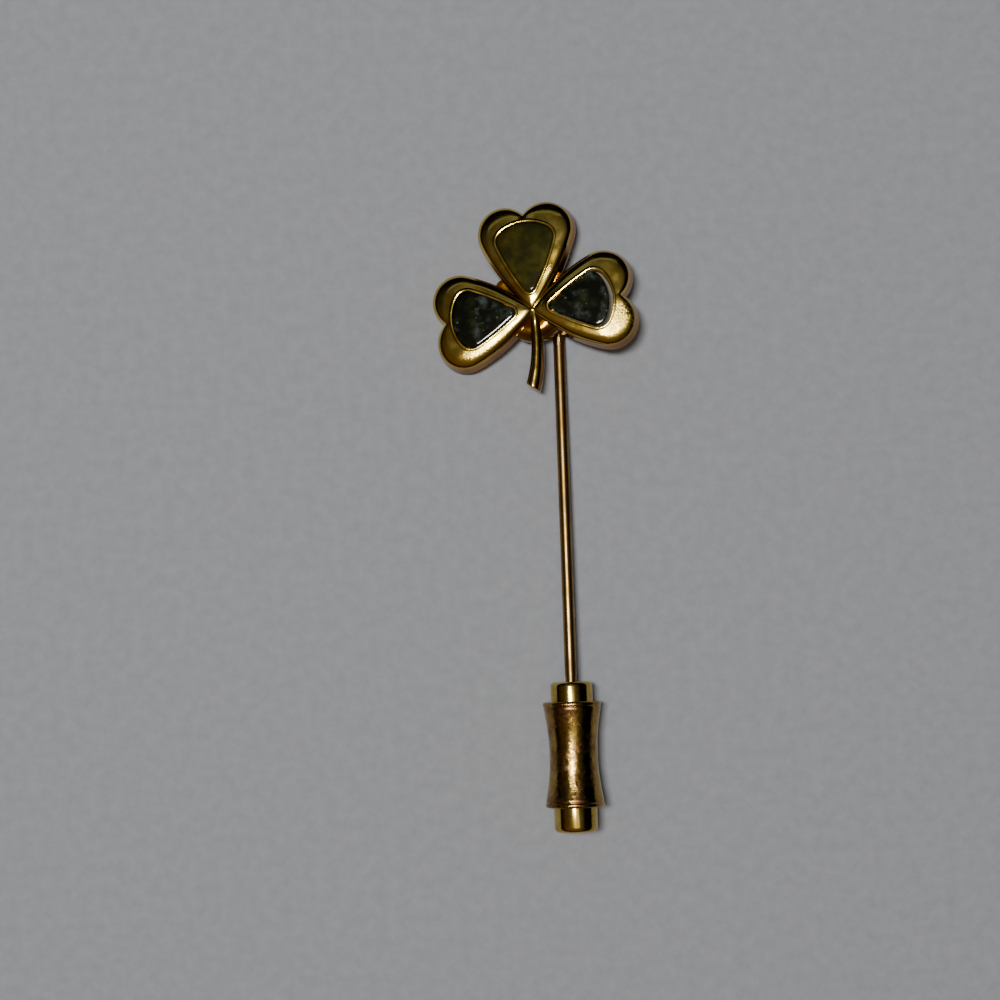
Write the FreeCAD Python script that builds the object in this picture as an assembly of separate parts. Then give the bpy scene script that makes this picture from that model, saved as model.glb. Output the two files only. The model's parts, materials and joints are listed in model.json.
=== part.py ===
import FreeCAD, Part
import math
import os

from FreeCAD import Placement, Rotation, Vector

# A stick pin: a cast shamrock with three inlaid stones, soldered to a bent pin wire,
# and a barrel clutch that locks on the wire with three balls, a cam ring and a spring.
# The model is drawn flat, with the wire along Y, the shamrock facing +Z and the wire's
# axis through the origin, and is then tipped to lie on its own three contact points.
# All sizes are in millimetres.

# ---- the shamrock casting ----
LEAF_REACH = {"top": 10.85, "left": 10.1, "right": 10.15}
LEAF_ANGLE = {"top": 0.0, "left": 91.7, "right": -88.2}
LEAF_WIDTH = 9.7
LOBE_OFFSET = 2.1
FLANK_TURN = 20.0
WALL_H = 1.65
WALL_DRAFT = 0.22
CROWN_RISE = 0.5
CROWN_INSET = 1.7
BACK_METAL = 0.95
HUB_R = 1.1
WEB_H = 1.1
WEB_R = 3.1
WEB_REACH = 4.9
HEAD_TURN = 4.0
HEAD_OFFSET = 2.0

# ---- the stem ----
STEM_REACH = 7.7
STEM_SWEEP = 1.0
STEM_START_X = 0.08
STEM_END_TURN = 36.0
STEM_TOP_W = 0.85
STEM_END_W = 1.55
STEM_H = 1.55

# ---- the stones, their pockets and the cement beds ----
LEAF_BORDER = 1.95
STONE_TIP = 1.75
STONE_W = 5.8
STONE_SIDE_R = 26.0
STONE_FAR_BOW = 0.5
STONE_TIP_R = 0.55
STONE_CORNER_R = 1.2
STONE_SUNK = 0.17
STONE_BEVEL = 0.2
STONE_GAP = 0.05
CEMENT_T = 0.1
LIP_W = 0.28
LIP_H = 0.12

# ---- the wire, its pad and the solder ----
WIRE_R = 0.6
NOSE_STEP = 0.05
STANDOFF = 2.0
BEND_R = 1.25
PAD_R = 1.8
PAD_T = 0.45
PAD_Y = 0.2
SOLDER_GAP = 0.05
SOLDER_LEG = 0.35
CLUTCH_AT = 37.2
NOSE_LEAD = 0.25
TAPER = 0.7
POINT_L = 1.6
POINT_R = 0.12
POINT_BACK = 0.5

# ---- the clutch's core and balls ----
NUB_R = 2.1
NUB_SHOWN = 1.95
NUB_HIDDEN = 1.05
NUB_ROUND = 0.3
BORE_GAP = 0.10
FUNNEL_LIP = 0.4
FUNNEL_L = 0.5
CAP_AT = 12.0
SPIGOT_STEP = 0.3
SPIGOT_L = 1.2
BALL_R = 0.5
BALL_CLEAR = 0.2
BALL_PROUD = 0.11
BALL_COUNT = 3
BALL_GAP = 0.01
BALL_HOLE_GAP = 0.03

# ---- the end cap and the cushion that the point rests on ----
CAP_STEP = 0.15
CAP_L = 2.85
CAP_ROUND = 0.45
CUSHION_T = 0.5
CUSHION_GAP = 0.02

# ---- the sliding sleeve ----
CAP_COVER = 0.4
FLARE_TOP_WALL = 0.80
FLARE_END_WALL = 0.78
WAIST_WALL = 0.42
WAIST_SHARE = 0.445
RIM_L = 0.35
RIM_CHAMFER = 0.15
GUIDE_GAP = 0.05
NUB_SHADOW = 0.1
FLANGE_T = 0.3
CHAMBER_ROOM = 0.55
SLEEVE_TRAVEL = 1.2
STOP_GAP = 0.1

# ---- the cam ring, the spring and its washer ----
CAM_FOOT = 0.2
CAM_SEAT_GAP = 0.02
CAM_SLOPE = 0.14
CAM_GAP = 0.02
CAM_BALL_GAP = 0.02
WASHER_T = 0.25
SPRING_WIRE_R = 0.14
SPRING_TURNS = 6
SPRING_GAP = 0.02

# ---- sizes that follow from the ones above ----
LOBE_R = LEAF_WIDTH / 2 - LOBE_OFFSET
LIP_TOP = WALL_H + CROWN_RISE + LIP_H
STONE_T = LIP_TOP - STONE_SUNK - BACK_METAL - CEMENT_T
NOSE_R = WIRE_R - NOSE_STEP
BORE_R = NOSE_R + BORE_GAP
FUNNEL_R = BORE_R + FUNNEL_LIP
BALL_REACH = NOSE_R + BALL_GAP + BALL_R
CORE_R = BALL_REACH + BALL_R - BALL_PROUD
SPIGOT_R = CORE_R - SPIGOT_STEP
CHAMBER_R = CORE_R + CHAMBER_ROOM
CAP_R = CHAMBER_R + CAP_STEP
NOSE_IN = CAP_AT - POINT_BACK
CLUTCH_L = CAP_AT + CAP_L
SLEEVE_TOP = NUB_SHOWN
NUB_L = NUB_SHOWN + NUB_HIDDEN
FLANGE_AT = NUB_L + NUB_SHADOW
CAM_AT = FLANGE_AT + FLANGE_T + CAM_SEAT_GAP
BALL_AT = CAM_AT + SLEEVE_TRAVEL + BALL_CLEAR + BALL_R
SLEEVE_END = CAP_AT + CAP_COVER
FLARE_TOP_R = NUB_R + GUIDE_GAP + FLARE_TOP_WALL
FLARE_END_R = CAP_R + GUIDE_GAP + FLARE_END_WALL
WAIST_R = CHAMBER_R + WAIST_WALL
WAIST_AT = SLEEVE_TOP + (SLEEVE_END - SLEEVE_TOP) * WAIST_SHARE
SPRING_R = (CORE_R + CHAMBER_R) / 2

# How the height of a leaf's rounded border grows from its outer edge to its crown.
CROWN_STEPS = ((0.12, 0.30), (0.38, 0.66), (1.0, 1.0))


def lathe(profile):
    """A solid turned about the Y axis from (distance towards the tip, radius) points."""
    points = [Vector(r, -u, 0) for u, r in profile]
    outline = Part.makePolygon(points + [points[0]])
    return Part.Face(outline).revolve(Vector(0, 0, 0), Vector(0, 1, 0), 360)


def turned(edges):
    """A solid turned about the Y axis from a closed chain of edges."""
    return Part.Face(Part.Wire(edges)).revolve(Vector(0, 0, 0), Vector(0, 1, 0), 360)


def line(a, b):
    """A straight edge between two (distance towards the tip, radius) points."""
    return Part.LineSegment(Vector(a[1], -a[0], 0), Vector(b[1], -b[0], 0)).toShape()


def arc(a, middle, b):
    """A round edge through three (distance towards the tip, radius) points."""
    bow = [Vector(r, -u, 0) for u, r in (a, middle, b)]
    return Part.Arc(*bow).toShape()


def corner(u, r, size, end):
    """The middle point of a rounded outer corner; end is +1 at the tip side."""
    pull = size * (1 - math.sqrt(0.5))
    return (u - end * pull, r - pull)


# ---------------------------------------------------------------- shamrock

def flank_arc(end):
    """The leaf's flank, from its tip to the point where it runs into the lobe."""
    slope = math.atan2(end.y, abs(end.x))
    turn = math.radians(90 - FLANK_TURN) - slope
    chord = math.hypot(end.x, end.y)
    bow = chord / 2 * math.tan(turn / 2)
    side = 1 if end.x > 0 else -1
    out = Vector(side * math.sin(slope), -math.cos(slope), 0)
    middle = end * 0.5 + out * bow
    return Part.Arc(Vector(0, 0, 0), middle, end).toShape()


def leaf_outline(reach):
    """A heart with its tip at the origin and its notch towards +Y, as one closed wire."""
    centre_x = LOBE_OFFSET
    centre_y = reach - LOBE_R
    notch = Vector(0, centre_y + math.sqrt(LOBE_R ** 2 - centre_x ** 2), 0)
    drop = math.radians(FLANK_TURN)
    start = Vector(
        centre_x + LOBE_R * math.cos(drop), centre_y - LOBE_R * math.sin(drop), 0
    )
    crown = Vector(
        centre_x + LOBE_R * math.cos(math.radians(60)),
        centre_y + LOBE_R * math.sin(math.radians(60)),
        0,
    )
    mirrored = [Vector(-p.x, p.y, 0) for p in (start, crown)]
    right = flank_arc(start)
    over_right = Part.Arc(start, crown, notch).toShape()
    over_left = Part.Arc(notch, mirrored[1], mirrored[0]).toShape()
    left = flank_arc(mirrored[0])
    return Part.Wire([right, over_right, over_left, left])


def leaf_section(reach, inset, height):
    """The leaf's outline drawn in by inset at the widest place, at a height."""
    share = 1 - 2 * inset / LEAF_WIDTH
    centre = Vector(0, reach * 0.55, 0)
    wire = leaf_outline(reach)
    wire.scale(share, centre)
    wire.translate(Vector(0, 0, height))
    return wire


def leaf_body(reach):
    """One leaf: a drafted wall under a rounded border that rises to a flat crown."""
    sections = [leaf_section(reach, -WALL_DRAFT, 0)]
    sections.append(leaf_section(reach, 0, WALL_H))
    for inward, upward in CROWN_STEPS:
        height = WALL_H + CROWN_RISE * upward
        sections.append(leaf_section(reach, CROWN_INSET * inward, height))
    return Part.makeLoft(sections, True, True)


def unit(vector):
    """A vector's direction, one long."""
    return vector * (1 / vector.Length)


def side_arc(first, second, grow):
    """The bowed side between two corner circles, which it touches from outside."""
    along = second["at"] - first["at"]
    chord = along.Length
    forward = unit(along)
    inward = Vector(-forward.y, forward.x, 0)
    near = first["bow"] - first["r"]
    far = first["bow"] - second["r"]
    share = (near ** 2 - far ** 2 + chord ** 2) / (2 * chord)
    centre = first["at"] + forward * share + inward * math.sqrt(near ** 2 - share ** 2)
    reach = first["bow"] + grow
    start = unit(first["at"] - centre)
    end = unit(second["at"] - centre)
    middle = centre + unit(start + end) * reach
    return Part.Arc(centre + start * reach, middle, centre + end * reach)


def stone_face(reach, grow):
    """The stone's rounded triangle as a face at height 0, grown evenly by grow."""
    far_y = reach - LEAF_BORDER - STONE_FAR_BOW - STONE_CORNER_R
    corner_x = STONE_W / 2 - STONE_CORNER_R
    tip_y = STONE_TIP + STONE_TIP_R
    corners = [
        {"at": Vector(0, tip_y, 0), "r": STONE_TIP_R, "bow": STONE_SIDE_R},
        {"at": Vector(corner_x, far_y, 0), "r": STONE_CORNER_R, "bow": far_side_r()},
        {"at": Vector(-corner_x, far_y, 0), "r": STONE_CORNER_R, "bow": STONE_SIDE_R},
    ]
    sides = [side_arc(corners[i], corners[(i + 1) % 3], grow) for i in range(3)]
    edges = []
    for i in range(3):
        turn = corners[(i + 1) % 3]
        start = sides[i].EndPoint
        end = sides[(i + 1) % 3].StartPoint
        way = unit(start + end - turn["at"] * 2)
        middle = turn["at"] + way * (turn["r"] + grow)
        edges.append(sides[i].toShape())
        edges.append(Part.Arc(start, middle, end).toShape())
    return Part.Face(Part.Wire(edges))


def far_side_r():
    """The radius of the stone's far side, which bows out by STONE_FAR_BOW."""
    half = STONE_W / 2 - STONE_CORNER_R
    return (half ** 2 + STONE_FAR_BOW ** 2) / (2 * STONE_FAR_BOW) + STONE_CORNER_R


def prism(face, low, high):
    """A flat face pulled up into a solid between two heights."""
    block = face.extrude(Vector(0, 0, high - low))
    block.translate(Vector(0, 0, low - face.BoundBox.ZMin))
    return block


def leaf_frame(leaf):
    """Turns a shape drawn on the Y axis to the place of one leaf."""
    turn = LEAF_ANGLE[leaf] + HEAD_TURN
    return Placement(Vector(-HEAD_OFFSET, 0, STANDOFF), Rotation(Vector(0, 0, 1), turn))


def placed(shape, frame):
    """A copy of a shape moved by a frame."""
    moved = shape.copy()
    moved.Placement = frame.multiply(moved.Placement)
    return moved


def leaf_with_lip(leaf):
    """One leaf with the raised lip that runs round its stone."""
    reach = LEAF_REACH[leaf]
    lip = prism(stone_face(reach, STONE_GAP + LIP_W), BACK_METAL, LIP_TOP)
    return leaf_body(reach).fuse(lip)


def pocket(leaf):
    """The hole that takes one stone, open at the top."""
    face = stone_face(LEAF_REACH[leaf], STONE_GAP)
    return prism(face, BACK_METAL, LIP_TOP + 1)


def stem_section(y, x, width, turn):
    """One D-shaped cross-section of the stem, flat side down, turned about its middle."""
    half = width / 2
    shoulder = STEM_H - half
    corners = [
        Vector(x - half, y, 0),
        Vector(x + half, y, 0),
        Vector(x + half, y, shoulder),
        Vector(x - half, y, shoulder),
    ]
    foot = Part.LineSegment(corners[0], corners[1]).toShape()
    right = Part.LineSegment(corners[1], corners[2]).toShape()
    crown = Part.Arc(corners[2], Vector(x, y, STEM_H), corners[3]).toShape()
    left = Part.LineSegment(corners[3], corners[0]).toShape()
    section = Part.Wire([foot, right, crown, left])
    section.rotate(Vector(x, y, 0), Vector(0, 0, 1), -turn)
    return section


def stem():
    """The stem: it leaves the middle straight and sweeps to the left at its end."""
    sections = []
    for share in (0.0, 0.25, 0.5, 0.75, 1.0):
        width = STEM_TOP_W + (STEM_END_W - STEM_TOP_W) * share
        x = STEM_START_X - STEM_SWEEP * share ** 3
        turn = STEM_END_TURN * share ** 2
        sections.append(stem_section(-STEM_REACH * share, x, width, turn))
    return Part.makeLoft(sections, True, False)


def webs():
    """The low metal that joins the leaves: a disc, and a kite in each leaf gap."""
    disc = Part.makeCylinder(WEB_R, WEB_H)
    for angle in (45, 135):
        mid = math.radians(angle)
        points = [Vector(0, 0, 0)]
        for turn, reach in ((-0.42, 0.9), (0, 1.0), (0.42, 0.9)):
            far = WEB_REACH * reach
            points.append(Vector(far * math.cos(mid + turn), far * math.sin(mid + turn), 0))
        kite = Part.Face(Part.makePolygon(points + [points[0]]))
        disc = disc.fuse(kite.extrude(Vector(0, 0, WEB_H)))
    return disc


def hub():
    """The small cone where the leaf tips and the stem meet."""
    return Part.makeCone(HUB_R * 1.6, HUB_R * 0.5, WALL_H + CROWN_RISE * 0.4)


def shamrock_head():
    """The whole casting in the place where it is worn."""
    middle = leaf_frame("top")
    solid = placed(webs(), middle)
    solid = solid.fuse([placed(hub(), middle), placed(stem(), middle)])
    solid = solid.fuse([placed(leaf_with_lip(leaf), leaf_frame(leaf)) for leaf in LEAF_REACH])
    solid = solid.cut([placed(pocket(leaf), leaf_frame(leaf)) for leaf in LEAF_REACH])
    return solid.removeSplitter().Solids[0]


def stone(leaf):
    """One polished stone with a bevelled top edge, on its cement bed."""
    low = BACK_METAL + CEMENT_T
    body = prism(stone_face(LEAF_REACH[leaf], 0), low, low + STONE_T)
    top = max(body.Faces, key=lambda face: face.CenterOfMass.z)
    return placed(body.makeChamfer(STONE_BEVEL, top.Edges), leaf_frame(leaf))


def cement(leaf):
    """The thin bed of cement under one stone."""
    face = stone_face(LEAF_REACH[leaf], -STONE_GAP)
    return placed(prism(face, BACK_METAL, BACK_METAL + CEMENT_T), leaf_frame(leaf))


# ---------------------------------------------------------------- wire and pad

def pin_pad():
    """The round pad on the casting's back, with a hole for the end of the wire."""
    base = Vector(0, PAD_Y, STANDOFF - PAD_T)
    disc = Part.makeCylinder(PAD_R, PAD_T, base)
    hole = Part.makeCylinder(WIRE_R + SOLDER_GAP, PAD_T, base)
    return disc.cut(hole)


def solder_joint():
    """Solder that fills the gap round the wire and stands out in a small fillet."""
    inner = WIRE_R
    outer = WIRE_R + SOLDER_GAP
    low = STANDOFF - PAD_T
    profile = [
        Vector(inner, 0, STANDOFF),
        Vector(outer, 0, STANDOFF),
        Vector(outer, 0, low),
        Vector(outer + SOLDER_LEG, 0, low),
        Vector(inner, 0, low - SOLDER_LEG + 0.1),
    ]
    face = Part.Face(Part.makePolygon(profile + [profile[0]]))
    ring = face.revolve(Vector(0, 0, 0), Vector(0, 0, 1), 360)
    ring.translate(Vector(0, PAD_Y, 0))
    return ring


def bend_start():
    """Where along Y the straight shank ends and the bend to the pad begins."""
    return PAD_Y - BEND_R


def pin_wire():
    """The wire: up from the pad, round its bend, straight down, and to a sharp point."""
    foot = Vector(0, PAD_Y, STANDOFF)
    knee = Vector(0, PAD_Y, BEND_R)
    half = BEND_R * math.sqrt(0.5)
    mid = Vector(0, bend_start() + half, BEND_R - half)
    heel = Vector(0, bend_start(), 0)
    rise = Part.LineSegment(foot, knee).toShape()
    bend = Part.Arc(knee, mid, heel).toShape()
    ring = Part.Wire(Part.makeCircle(WIRE_R, foot, Vector(0, 0, -1)))
    upper = Part.Wire([rise, bend]).makePipeShell([ring], True, False)
    neck = CLUTCH_AT - NOSE_LEAD
    end = CLUTCH_AT + NOSE_IN
    shank = lathe(
        [
            (-bend_start(), 0),
            (-bend_start(), WIRE_R),
            (neck - TAPER, WIRE_R),
            (neck, NOSE_R),
            (end - POINT_L, NOSE_R),
            (end, POINT_R),
            (end, 0),
        ]
    )
    return upper.fuse(shank).removeSplitter().Solids[0]


# ---------------------------------------------------------------- clutch

def in_clutch(solid):
    """Moves a solid drawn from the clutch's mouth to the clutch's place on the wire."""
    solid.translate(Vector(0, -CLUTCH_AT, 0))
    return solid


def ball_angles():
    """The directions of the balls round the axis, in degrees."""
    return [90 + 360 / BALL_COUNT * i for i in range(BALL_COUNT)]


def bore_end():
    """How deep the bore goes: past the wire's point by the cushion."""
    return NOSE_IN + CUSHION_T + 0.1


def clutch_core():
    """The nub and the ball cage in one turning, bored for the wire."""
    pull = NUB_ROUND
    nub = turned(
        [
            line((0, 0), (0, NUB_R - pull)),
            arc((0, NUB_R - pull), corner(0, NUB_R, pull, -1), (pull, NUB_R)),
            line((pull, NUB_R), (NUB_L, NUB_R)),
            line((NUB_L, NUB_R), (NUB_L, CORE_R)),
            line((NUB_L, CORE_R), (CAP_AT, CORE_R)),
            line((CAP_AT, CORE_R), (CAP_AT, SPIGOT_R)),
            line((CAP_AT, SPIGOT_R), (CAP_AT + SPIGOT_L, SPIGOT_R)),
            line((CAP_AT + SPIGOT_L, SPIGOT_R), (CAP_AT + SPIGOT_L, 0)),
            line((CAP_AT + SPIGOT_L, 0), (0, 0)),
        ]
    )
    bore = lathe(
        [(0, 0), (0, FUNNEL_R), (FUNNEL_L, BORE_R), (bore_end(), BORE_R), (bore_end(), 0)]
    )
    core = nub.cut(bore)
    for angle in ball_angles():
        way = Vector(math.cos(math.radians(angle)), 0, math.sin(math.radians(angle)))
        hole = Part.makeCylinder(
            BALL_R + BALL_HOLE_GAP, CORE_R + 1, Vector(0, -BALL_AT, 0), way
        )
        core = core.cut(hole)
    return in_clutch(core)


def lock_ball(number):
    """One steel locking ball in its hole."""
    angle = math.radians(ball_angles()[number])
    across = BALL_REACH * math.cos(angle)
    centre = Vector(across, -BALL_AT, BALL_REACH * math.sin(angle))
    ball = Part.makeSphere(BALL_R)
    ball.translate(centre)
    return in_clutch(ball)


def end_cap():
    """The closed cap pressed on the core's spigot."""
    pull = CAP_ROUND
    return in_clutch(
        turned(
            [
                line((CAP_AT, SPIGOT_R), (CAP_AT, CAP_R)),
                line((CAP_AT, CAP_R), (CLUTCH_L - pull, CAP_R)),
                arc(
                    (CLUTCH_L - pull, CAP_R),
                    corner(CLUTCH_L, CAP_R, pull, 1),
                    (CLUTCH_L, CAP_R - pull),
                ),
                line((CLUTCH_L, CAP_R - pull), (CLUTCH_L, 0)),
                line((CLUTCH_L, 0), (CAP_AT + SPIGOT_L, 0)),
                line((CAP_AT + SPIGOT_L, 0), (CAP_AT + SPIGOT_L, SPIGOT_R)),
                line((CAP_AT + SPIGOT_L, SPIGOT_R), (CAP_AT, SPIGOT_R)),
            ]
        )
    )


def tip_cushion():
    """The nylon disc at the bottom of the bore, just under the wire's point."""
    low = bore_end() - CUSHION_GAP
    radius = BORE_R - CUSHION_GAP
    return in_clutch(
        lathe([(low - CUSHION_T, 0), (low - CUSHION_T, radius), (low, radius), (low, 0)])
    )


def guide_at():
    """Where the sleeve opens out over the end cap, with room for its travel."""
    return CAP_AT - SLEEVE_TRAVEL - STOP_GAP


def clutch_sleeve():
    """The waisted sleeve that the fingers pull towards the tip to let the wire go."""
    top_in = NUB_R + GUIDE_GAP
    end_in = CAP_R + GUIDE_GAP
    flange_in = CORE_R + GUIDE_GAP
    chamber_at = FLANGE_AT + FLANGE_T
    nick = RIM_CHAMFER
    edges = [
        line((SLEEVE_TOP, top_in), (SLEEVE_TOP, FLARE_TOP_R - nick)),
        line((SLEEVE_TOP, FLARE_TOP_R - nick), (SLEEVE_TOP + nick, FLARE_TOP_R)),
        line((SLEEVE_TOP + nick, FLARE_TOP_R), (SLEEVE_TOP + RIM_L, FLARE_TOP_R)),
        arc(
            (SLEEVE_TOP + RIM_L, FLARE_TOP_R),
            (WAIST_AT, WAIST_R),
            (SLEEVE_END - RIM_L, FLARE_END_R),
        ),
        line((SLEEVE_END - RIM_L, FLARE_END_R), (SLEEVE_END - nick, FLARE_END_R)),
        line((SLEEVE_END - nick, FLARE_END_R), (SLEEVE_END, FLARE_END_R - nick)),
        line((SLEEVE_END, FLARE_END_R - nick), (SLEEVE_END, end_in)),
        line((SLEEVE_END, end_in), (guide_at(), end_in)),
        line((guide_at(), end_in), (guide_at(), CHAMBER_R)),
        line((guide_at(), CHAMBER_R), (chamber_at, CHAMBER_R)),
        line((chamber_at, CHAMBER_R), (chamber_at, flange_in)),
        line((chamber_at, flange_in), (FLANGE_AT, flange_in)),
        line((FLANGE_AT, flange_in), (FLANGE_AT, top_in)),
        line((FLANGE_AT, top_in), (SLEEVE_TOP, top_in)),
    ]
    return in_clutch(turned(edges))


def cam_ring():
    """The hardened ring whose cone holds the balls in; it moves with the sleeve."""
    at_ball = BALL_REACH + BALL_R + CAM_BALL_GAP
    wide = at_ball + CAM_SLOPE * (BALL_AT - CAM_AT)
    narrow = at_ball - CAM_SLOPE * CAM_FOOT
    outer = CHAMBER_R - CAM_GAP
    end = BALL_AT + CAM_FOOT
    return in_clutch(lathe([(CAM_AT, wide), (CAM_AT, outer), (end, outer), (end, narrow)]))


def spring_room():
    """Where the spring starts and ends: from the cam ring to the washer."""
    return BALL_AT + CAM_FOOT, CAP_AT - WASHER_T


def spring_turn(pitch):
    """One turn of the spring's wire about the Z axis."""
    lead = math.atan(pitch / (2 * math.pi * SPRING_R))
    along = Vector(0, math.cos(lead), math.sin(lead))
    ring = Part.Wire(Part.makeCircle(SPRING_WIRE_R, Vector(SPRING_R, 0, 0), along))
    return Part.Wire(Part.makeHelix(pitch, pitch, SPRING_R)).makePipe(Part.Face(ring))


def return_spring():
    """The compression spring that holds the cam ring up against the sleeve."""
    top, end = spring_room()
    low = top + SPRING_WIRE_R + SPRING_GAP
    pitch = (end - top - 2 * (SPRING_WIRE_R + SPRING_GAP)) / SPRING_TURNS
    turns = []
    for i in range(SPRING_TURNS):
        turn = spring_turn(pitch)
        turn.translate(Vector(0, 0, pitch * i))
        turns.append(turn)
    spring = turns[0].multiFuse(turns[1:])
    spring.rotate(Vector(0, 0, 0), Vector(1, 0, 0), 90)
    spring.translate(Vector(0, -low, 0))
    return in_clutch(spring)


def spring_washer():
    """The thin washer between the spring and the end cap."""
    low = CAP_AT - WASHER_T
    hole = CORE_R + CAM_GAP
    outer = CHAMBER_R - CAM_GAP
    return in_clutch(lathe([(low, hole), (low, outer), (CAP_AT, outer), (CAP_AT, hole)]))


# ---------------------------------------------------------------- at rest

def pitch_at_rest():
    """The angle that lays the wire on its bend's end and on the sleeve's flare."""
    flares = (
        (CLUTCH_AT + SLEEVE_TOP + RIM_CHAMFER, FLARE_TOP_R),
        (CLUTCH_AT + SLEEVE_END - RIM_CHAMFER, FLARE_END_R),
    )
    slopes = [(r - WIRE_R) / (at + bend_start()) for at, r in flares]
    return math.degrees(math.atan(max(slopes)))


def lowest(points, turn):
    """The lowest height of a set of points once they are turned."""
    return min(turn.multVec(point).z for point in points)


def tilt(roll, pitch):
    """The shamrock's left side goes down by roll, and its whole end by pitch."""
    lean = Rotation(Vector(0, 1, 0), -roll)
    return Rotation(Vector(1, 0, 0), -pitch).multiply(lean)


def roll_at_rest(pitch):
    """The angle at which the left leaf's lower edge touches what the wire lies on."""
    wire = placed(leaf_section(LEAF_REACH["left"], -WALL_DRAFT, 0), leaf_frame("left"))
    edge = wire.discretize(200)
    slope = math.radians(pitch)
    floor = -WIRE_R * math.cos(slope) - bend_start() * math.sin(slope)
    low, high = 0.0, 30.0
    for _ in range(40):
        roll = (low + high) / 2
        if lowest(edge, tilt(roll, pitch)) > floor:
            low = roll
        else:
            high = roll
    return (low + high) / 2


def resting_frame(shapes):
    """Tips the finished parts onto their contact points, centred over the origin."""
    pitch = pitch_at_rest()
    turn = tilt(roll_at_rest(pitch), pitch)
    frame = Placement(Vector(0, 0, 0), turn)
    whole = Part.makeCompound([placed(shape, frame) for shape in shapes])
    box = whole.optimalBoundingBox(False, False)
    shift = Vector(-(box.XMin + box.XMax) / 2, -(box.YMin + box.YMax) / 2, -box.ZMin)
    return Placement(shift, turn)


def report(frame):
    """Prints the places that the joints and mounts need, in metres."""
    def at(x, u, z):
        spot = frame.multVec(Vector(x, -u, z)) * 0.001
        return [round(spot.x, 6), round(spot.y, 6), round(spot.z, 6)]

    way = frame.Rotation.multVec(Vector(0, -1, 0))
    print("axis towards the tip", [round(v, 6) for v in way])
    print("bend start", at(0, -bend_start(), 0))
    print("clutch mouth", at(0, CLUTCH_AT, 0))
    print("clutch end", at(0, CLUTCH_AT + CLUTCH_L, 0))
    print("shank middle", at(0, (CLUTCH_AT - NOSE_LEAD - TAPER - bend_start()) / 2, 0))
    print("shank length", CLUTCH_AT - NOSE_LEAD - TAPER + bend_start())
    for number, angle in enumerate(ball_angles()):
        out = Vector(math.cos(math.radians(angle)), 0, math.sin(math.radians(angle)))
        print("ball way", number + 1, [round(v, 6) for v in frame.Rotation.multVec(out)])
    print("roll and pitch", roll_at_rest(pitch_at_rest()), pitch_at_rest())


def build():
    """Every piece by its name, before it is laid down."""
    parts = {"shamrock_head": shamrock_head()}
    for leaf in LEAF_REACH:
        parts["stone_" + leaf] = stone(leaf)
        parts["stone_cement_" + leaf] = cement(leaf)
    parts["pin_pad"] = pin_pad()
    parts["solder_joint"] = solder_joint()
    parts["pin_wire"] = pin_wire()
    parts["clutch_core"] = clutch_core()
    parts["end_cap"] = end_cap()
    parts["clutch_sleeve"] = clutch_sleeve()
    parts["cam_ring"] = cam_ring()
    for number in range(BALL_COUNT):
        parts["lock_ball_" + str(number + 1)] = lock_ball(number)
    parts["return_spring"] = return_spring()
    parts["spring_washer"] = spring_washer()
    parts["tip_cushion"] = tip_cushion()
    return parts


parts = build()
frame = resting_frame(parts.values())
os.makedirs("parts", exist_ok=True)
for name, shape in parts.items():
    laid = placed(shape, frame)
    laid.exportStep("parts/" + name + ".step")
    print(name, len(laid.Solids), "solid", round(laid.Volume, 3), "mm3", laid.isValid())
report(frame)
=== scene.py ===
# %% [markdown]
# # A stick pin with a shamrock head
# The pin is a gold-plated cast shamrock with three inlaid green stones. It is soldered to a
# bent wire, and a barrel clutch with a spring and three balls grips the wire's point.
# The CAD model comes in first. It fixes every place and size, and each piece below is put
# where that model says.

import json
import math

import bmesh
import bpy
import numpy as np
from mathutils import Matrix, Vector, noise


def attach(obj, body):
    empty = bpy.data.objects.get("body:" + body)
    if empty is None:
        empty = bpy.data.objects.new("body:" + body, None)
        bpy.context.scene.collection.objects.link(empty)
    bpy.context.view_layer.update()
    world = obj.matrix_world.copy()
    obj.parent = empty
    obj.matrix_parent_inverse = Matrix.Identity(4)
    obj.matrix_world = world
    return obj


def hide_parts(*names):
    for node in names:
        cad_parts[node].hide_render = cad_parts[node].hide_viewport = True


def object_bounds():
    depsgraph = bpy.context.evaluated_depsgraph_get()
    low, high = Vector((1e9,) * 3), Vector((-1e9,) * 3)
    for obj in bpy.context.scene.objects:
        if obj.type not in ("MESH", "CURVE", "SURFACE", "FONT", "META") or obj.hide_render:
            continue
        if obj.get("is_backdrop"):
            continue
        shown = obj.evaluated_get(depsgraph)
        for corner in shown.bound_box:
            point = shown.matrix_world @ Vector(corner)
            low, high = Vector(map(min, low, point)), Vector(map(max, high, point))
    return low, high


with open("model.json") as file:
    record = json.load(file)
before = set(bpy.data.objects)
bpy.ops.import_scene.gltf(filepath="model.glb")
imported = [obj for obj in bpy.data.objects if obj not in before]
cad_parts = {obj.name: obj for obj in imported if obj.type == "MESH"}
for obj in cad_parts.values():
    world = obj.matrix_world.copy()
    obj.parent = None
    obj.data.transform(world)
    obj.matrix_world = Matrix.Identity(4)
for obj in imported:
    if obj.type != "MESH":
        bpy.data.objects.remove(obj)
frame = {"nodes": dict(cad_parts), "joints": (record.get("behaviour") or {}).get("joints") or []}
cad_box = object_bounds()

# %% [markdown]
# ## The pin's own directions
# The pin lies tipped on three points, so its own directions are not those of the room.
# Drawing is easier along the pin: +Y runs up the wire to the shamrock and +Z is the side
# that the shamrock faces. The clutch's joint gives the wire's axis and the first locking
# ball's joint gives "up", so one matrix built from them takes millimetres on the pin to
# metres in the room.

# %% Build the pin's matrix from the joints
MM = 0.001
CLUTCH_AT = 37.2
CASTING_BACK = Vector((-2.0, 0.0, 2.0))
HEAD_TURN = math.radians(4)

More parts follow.
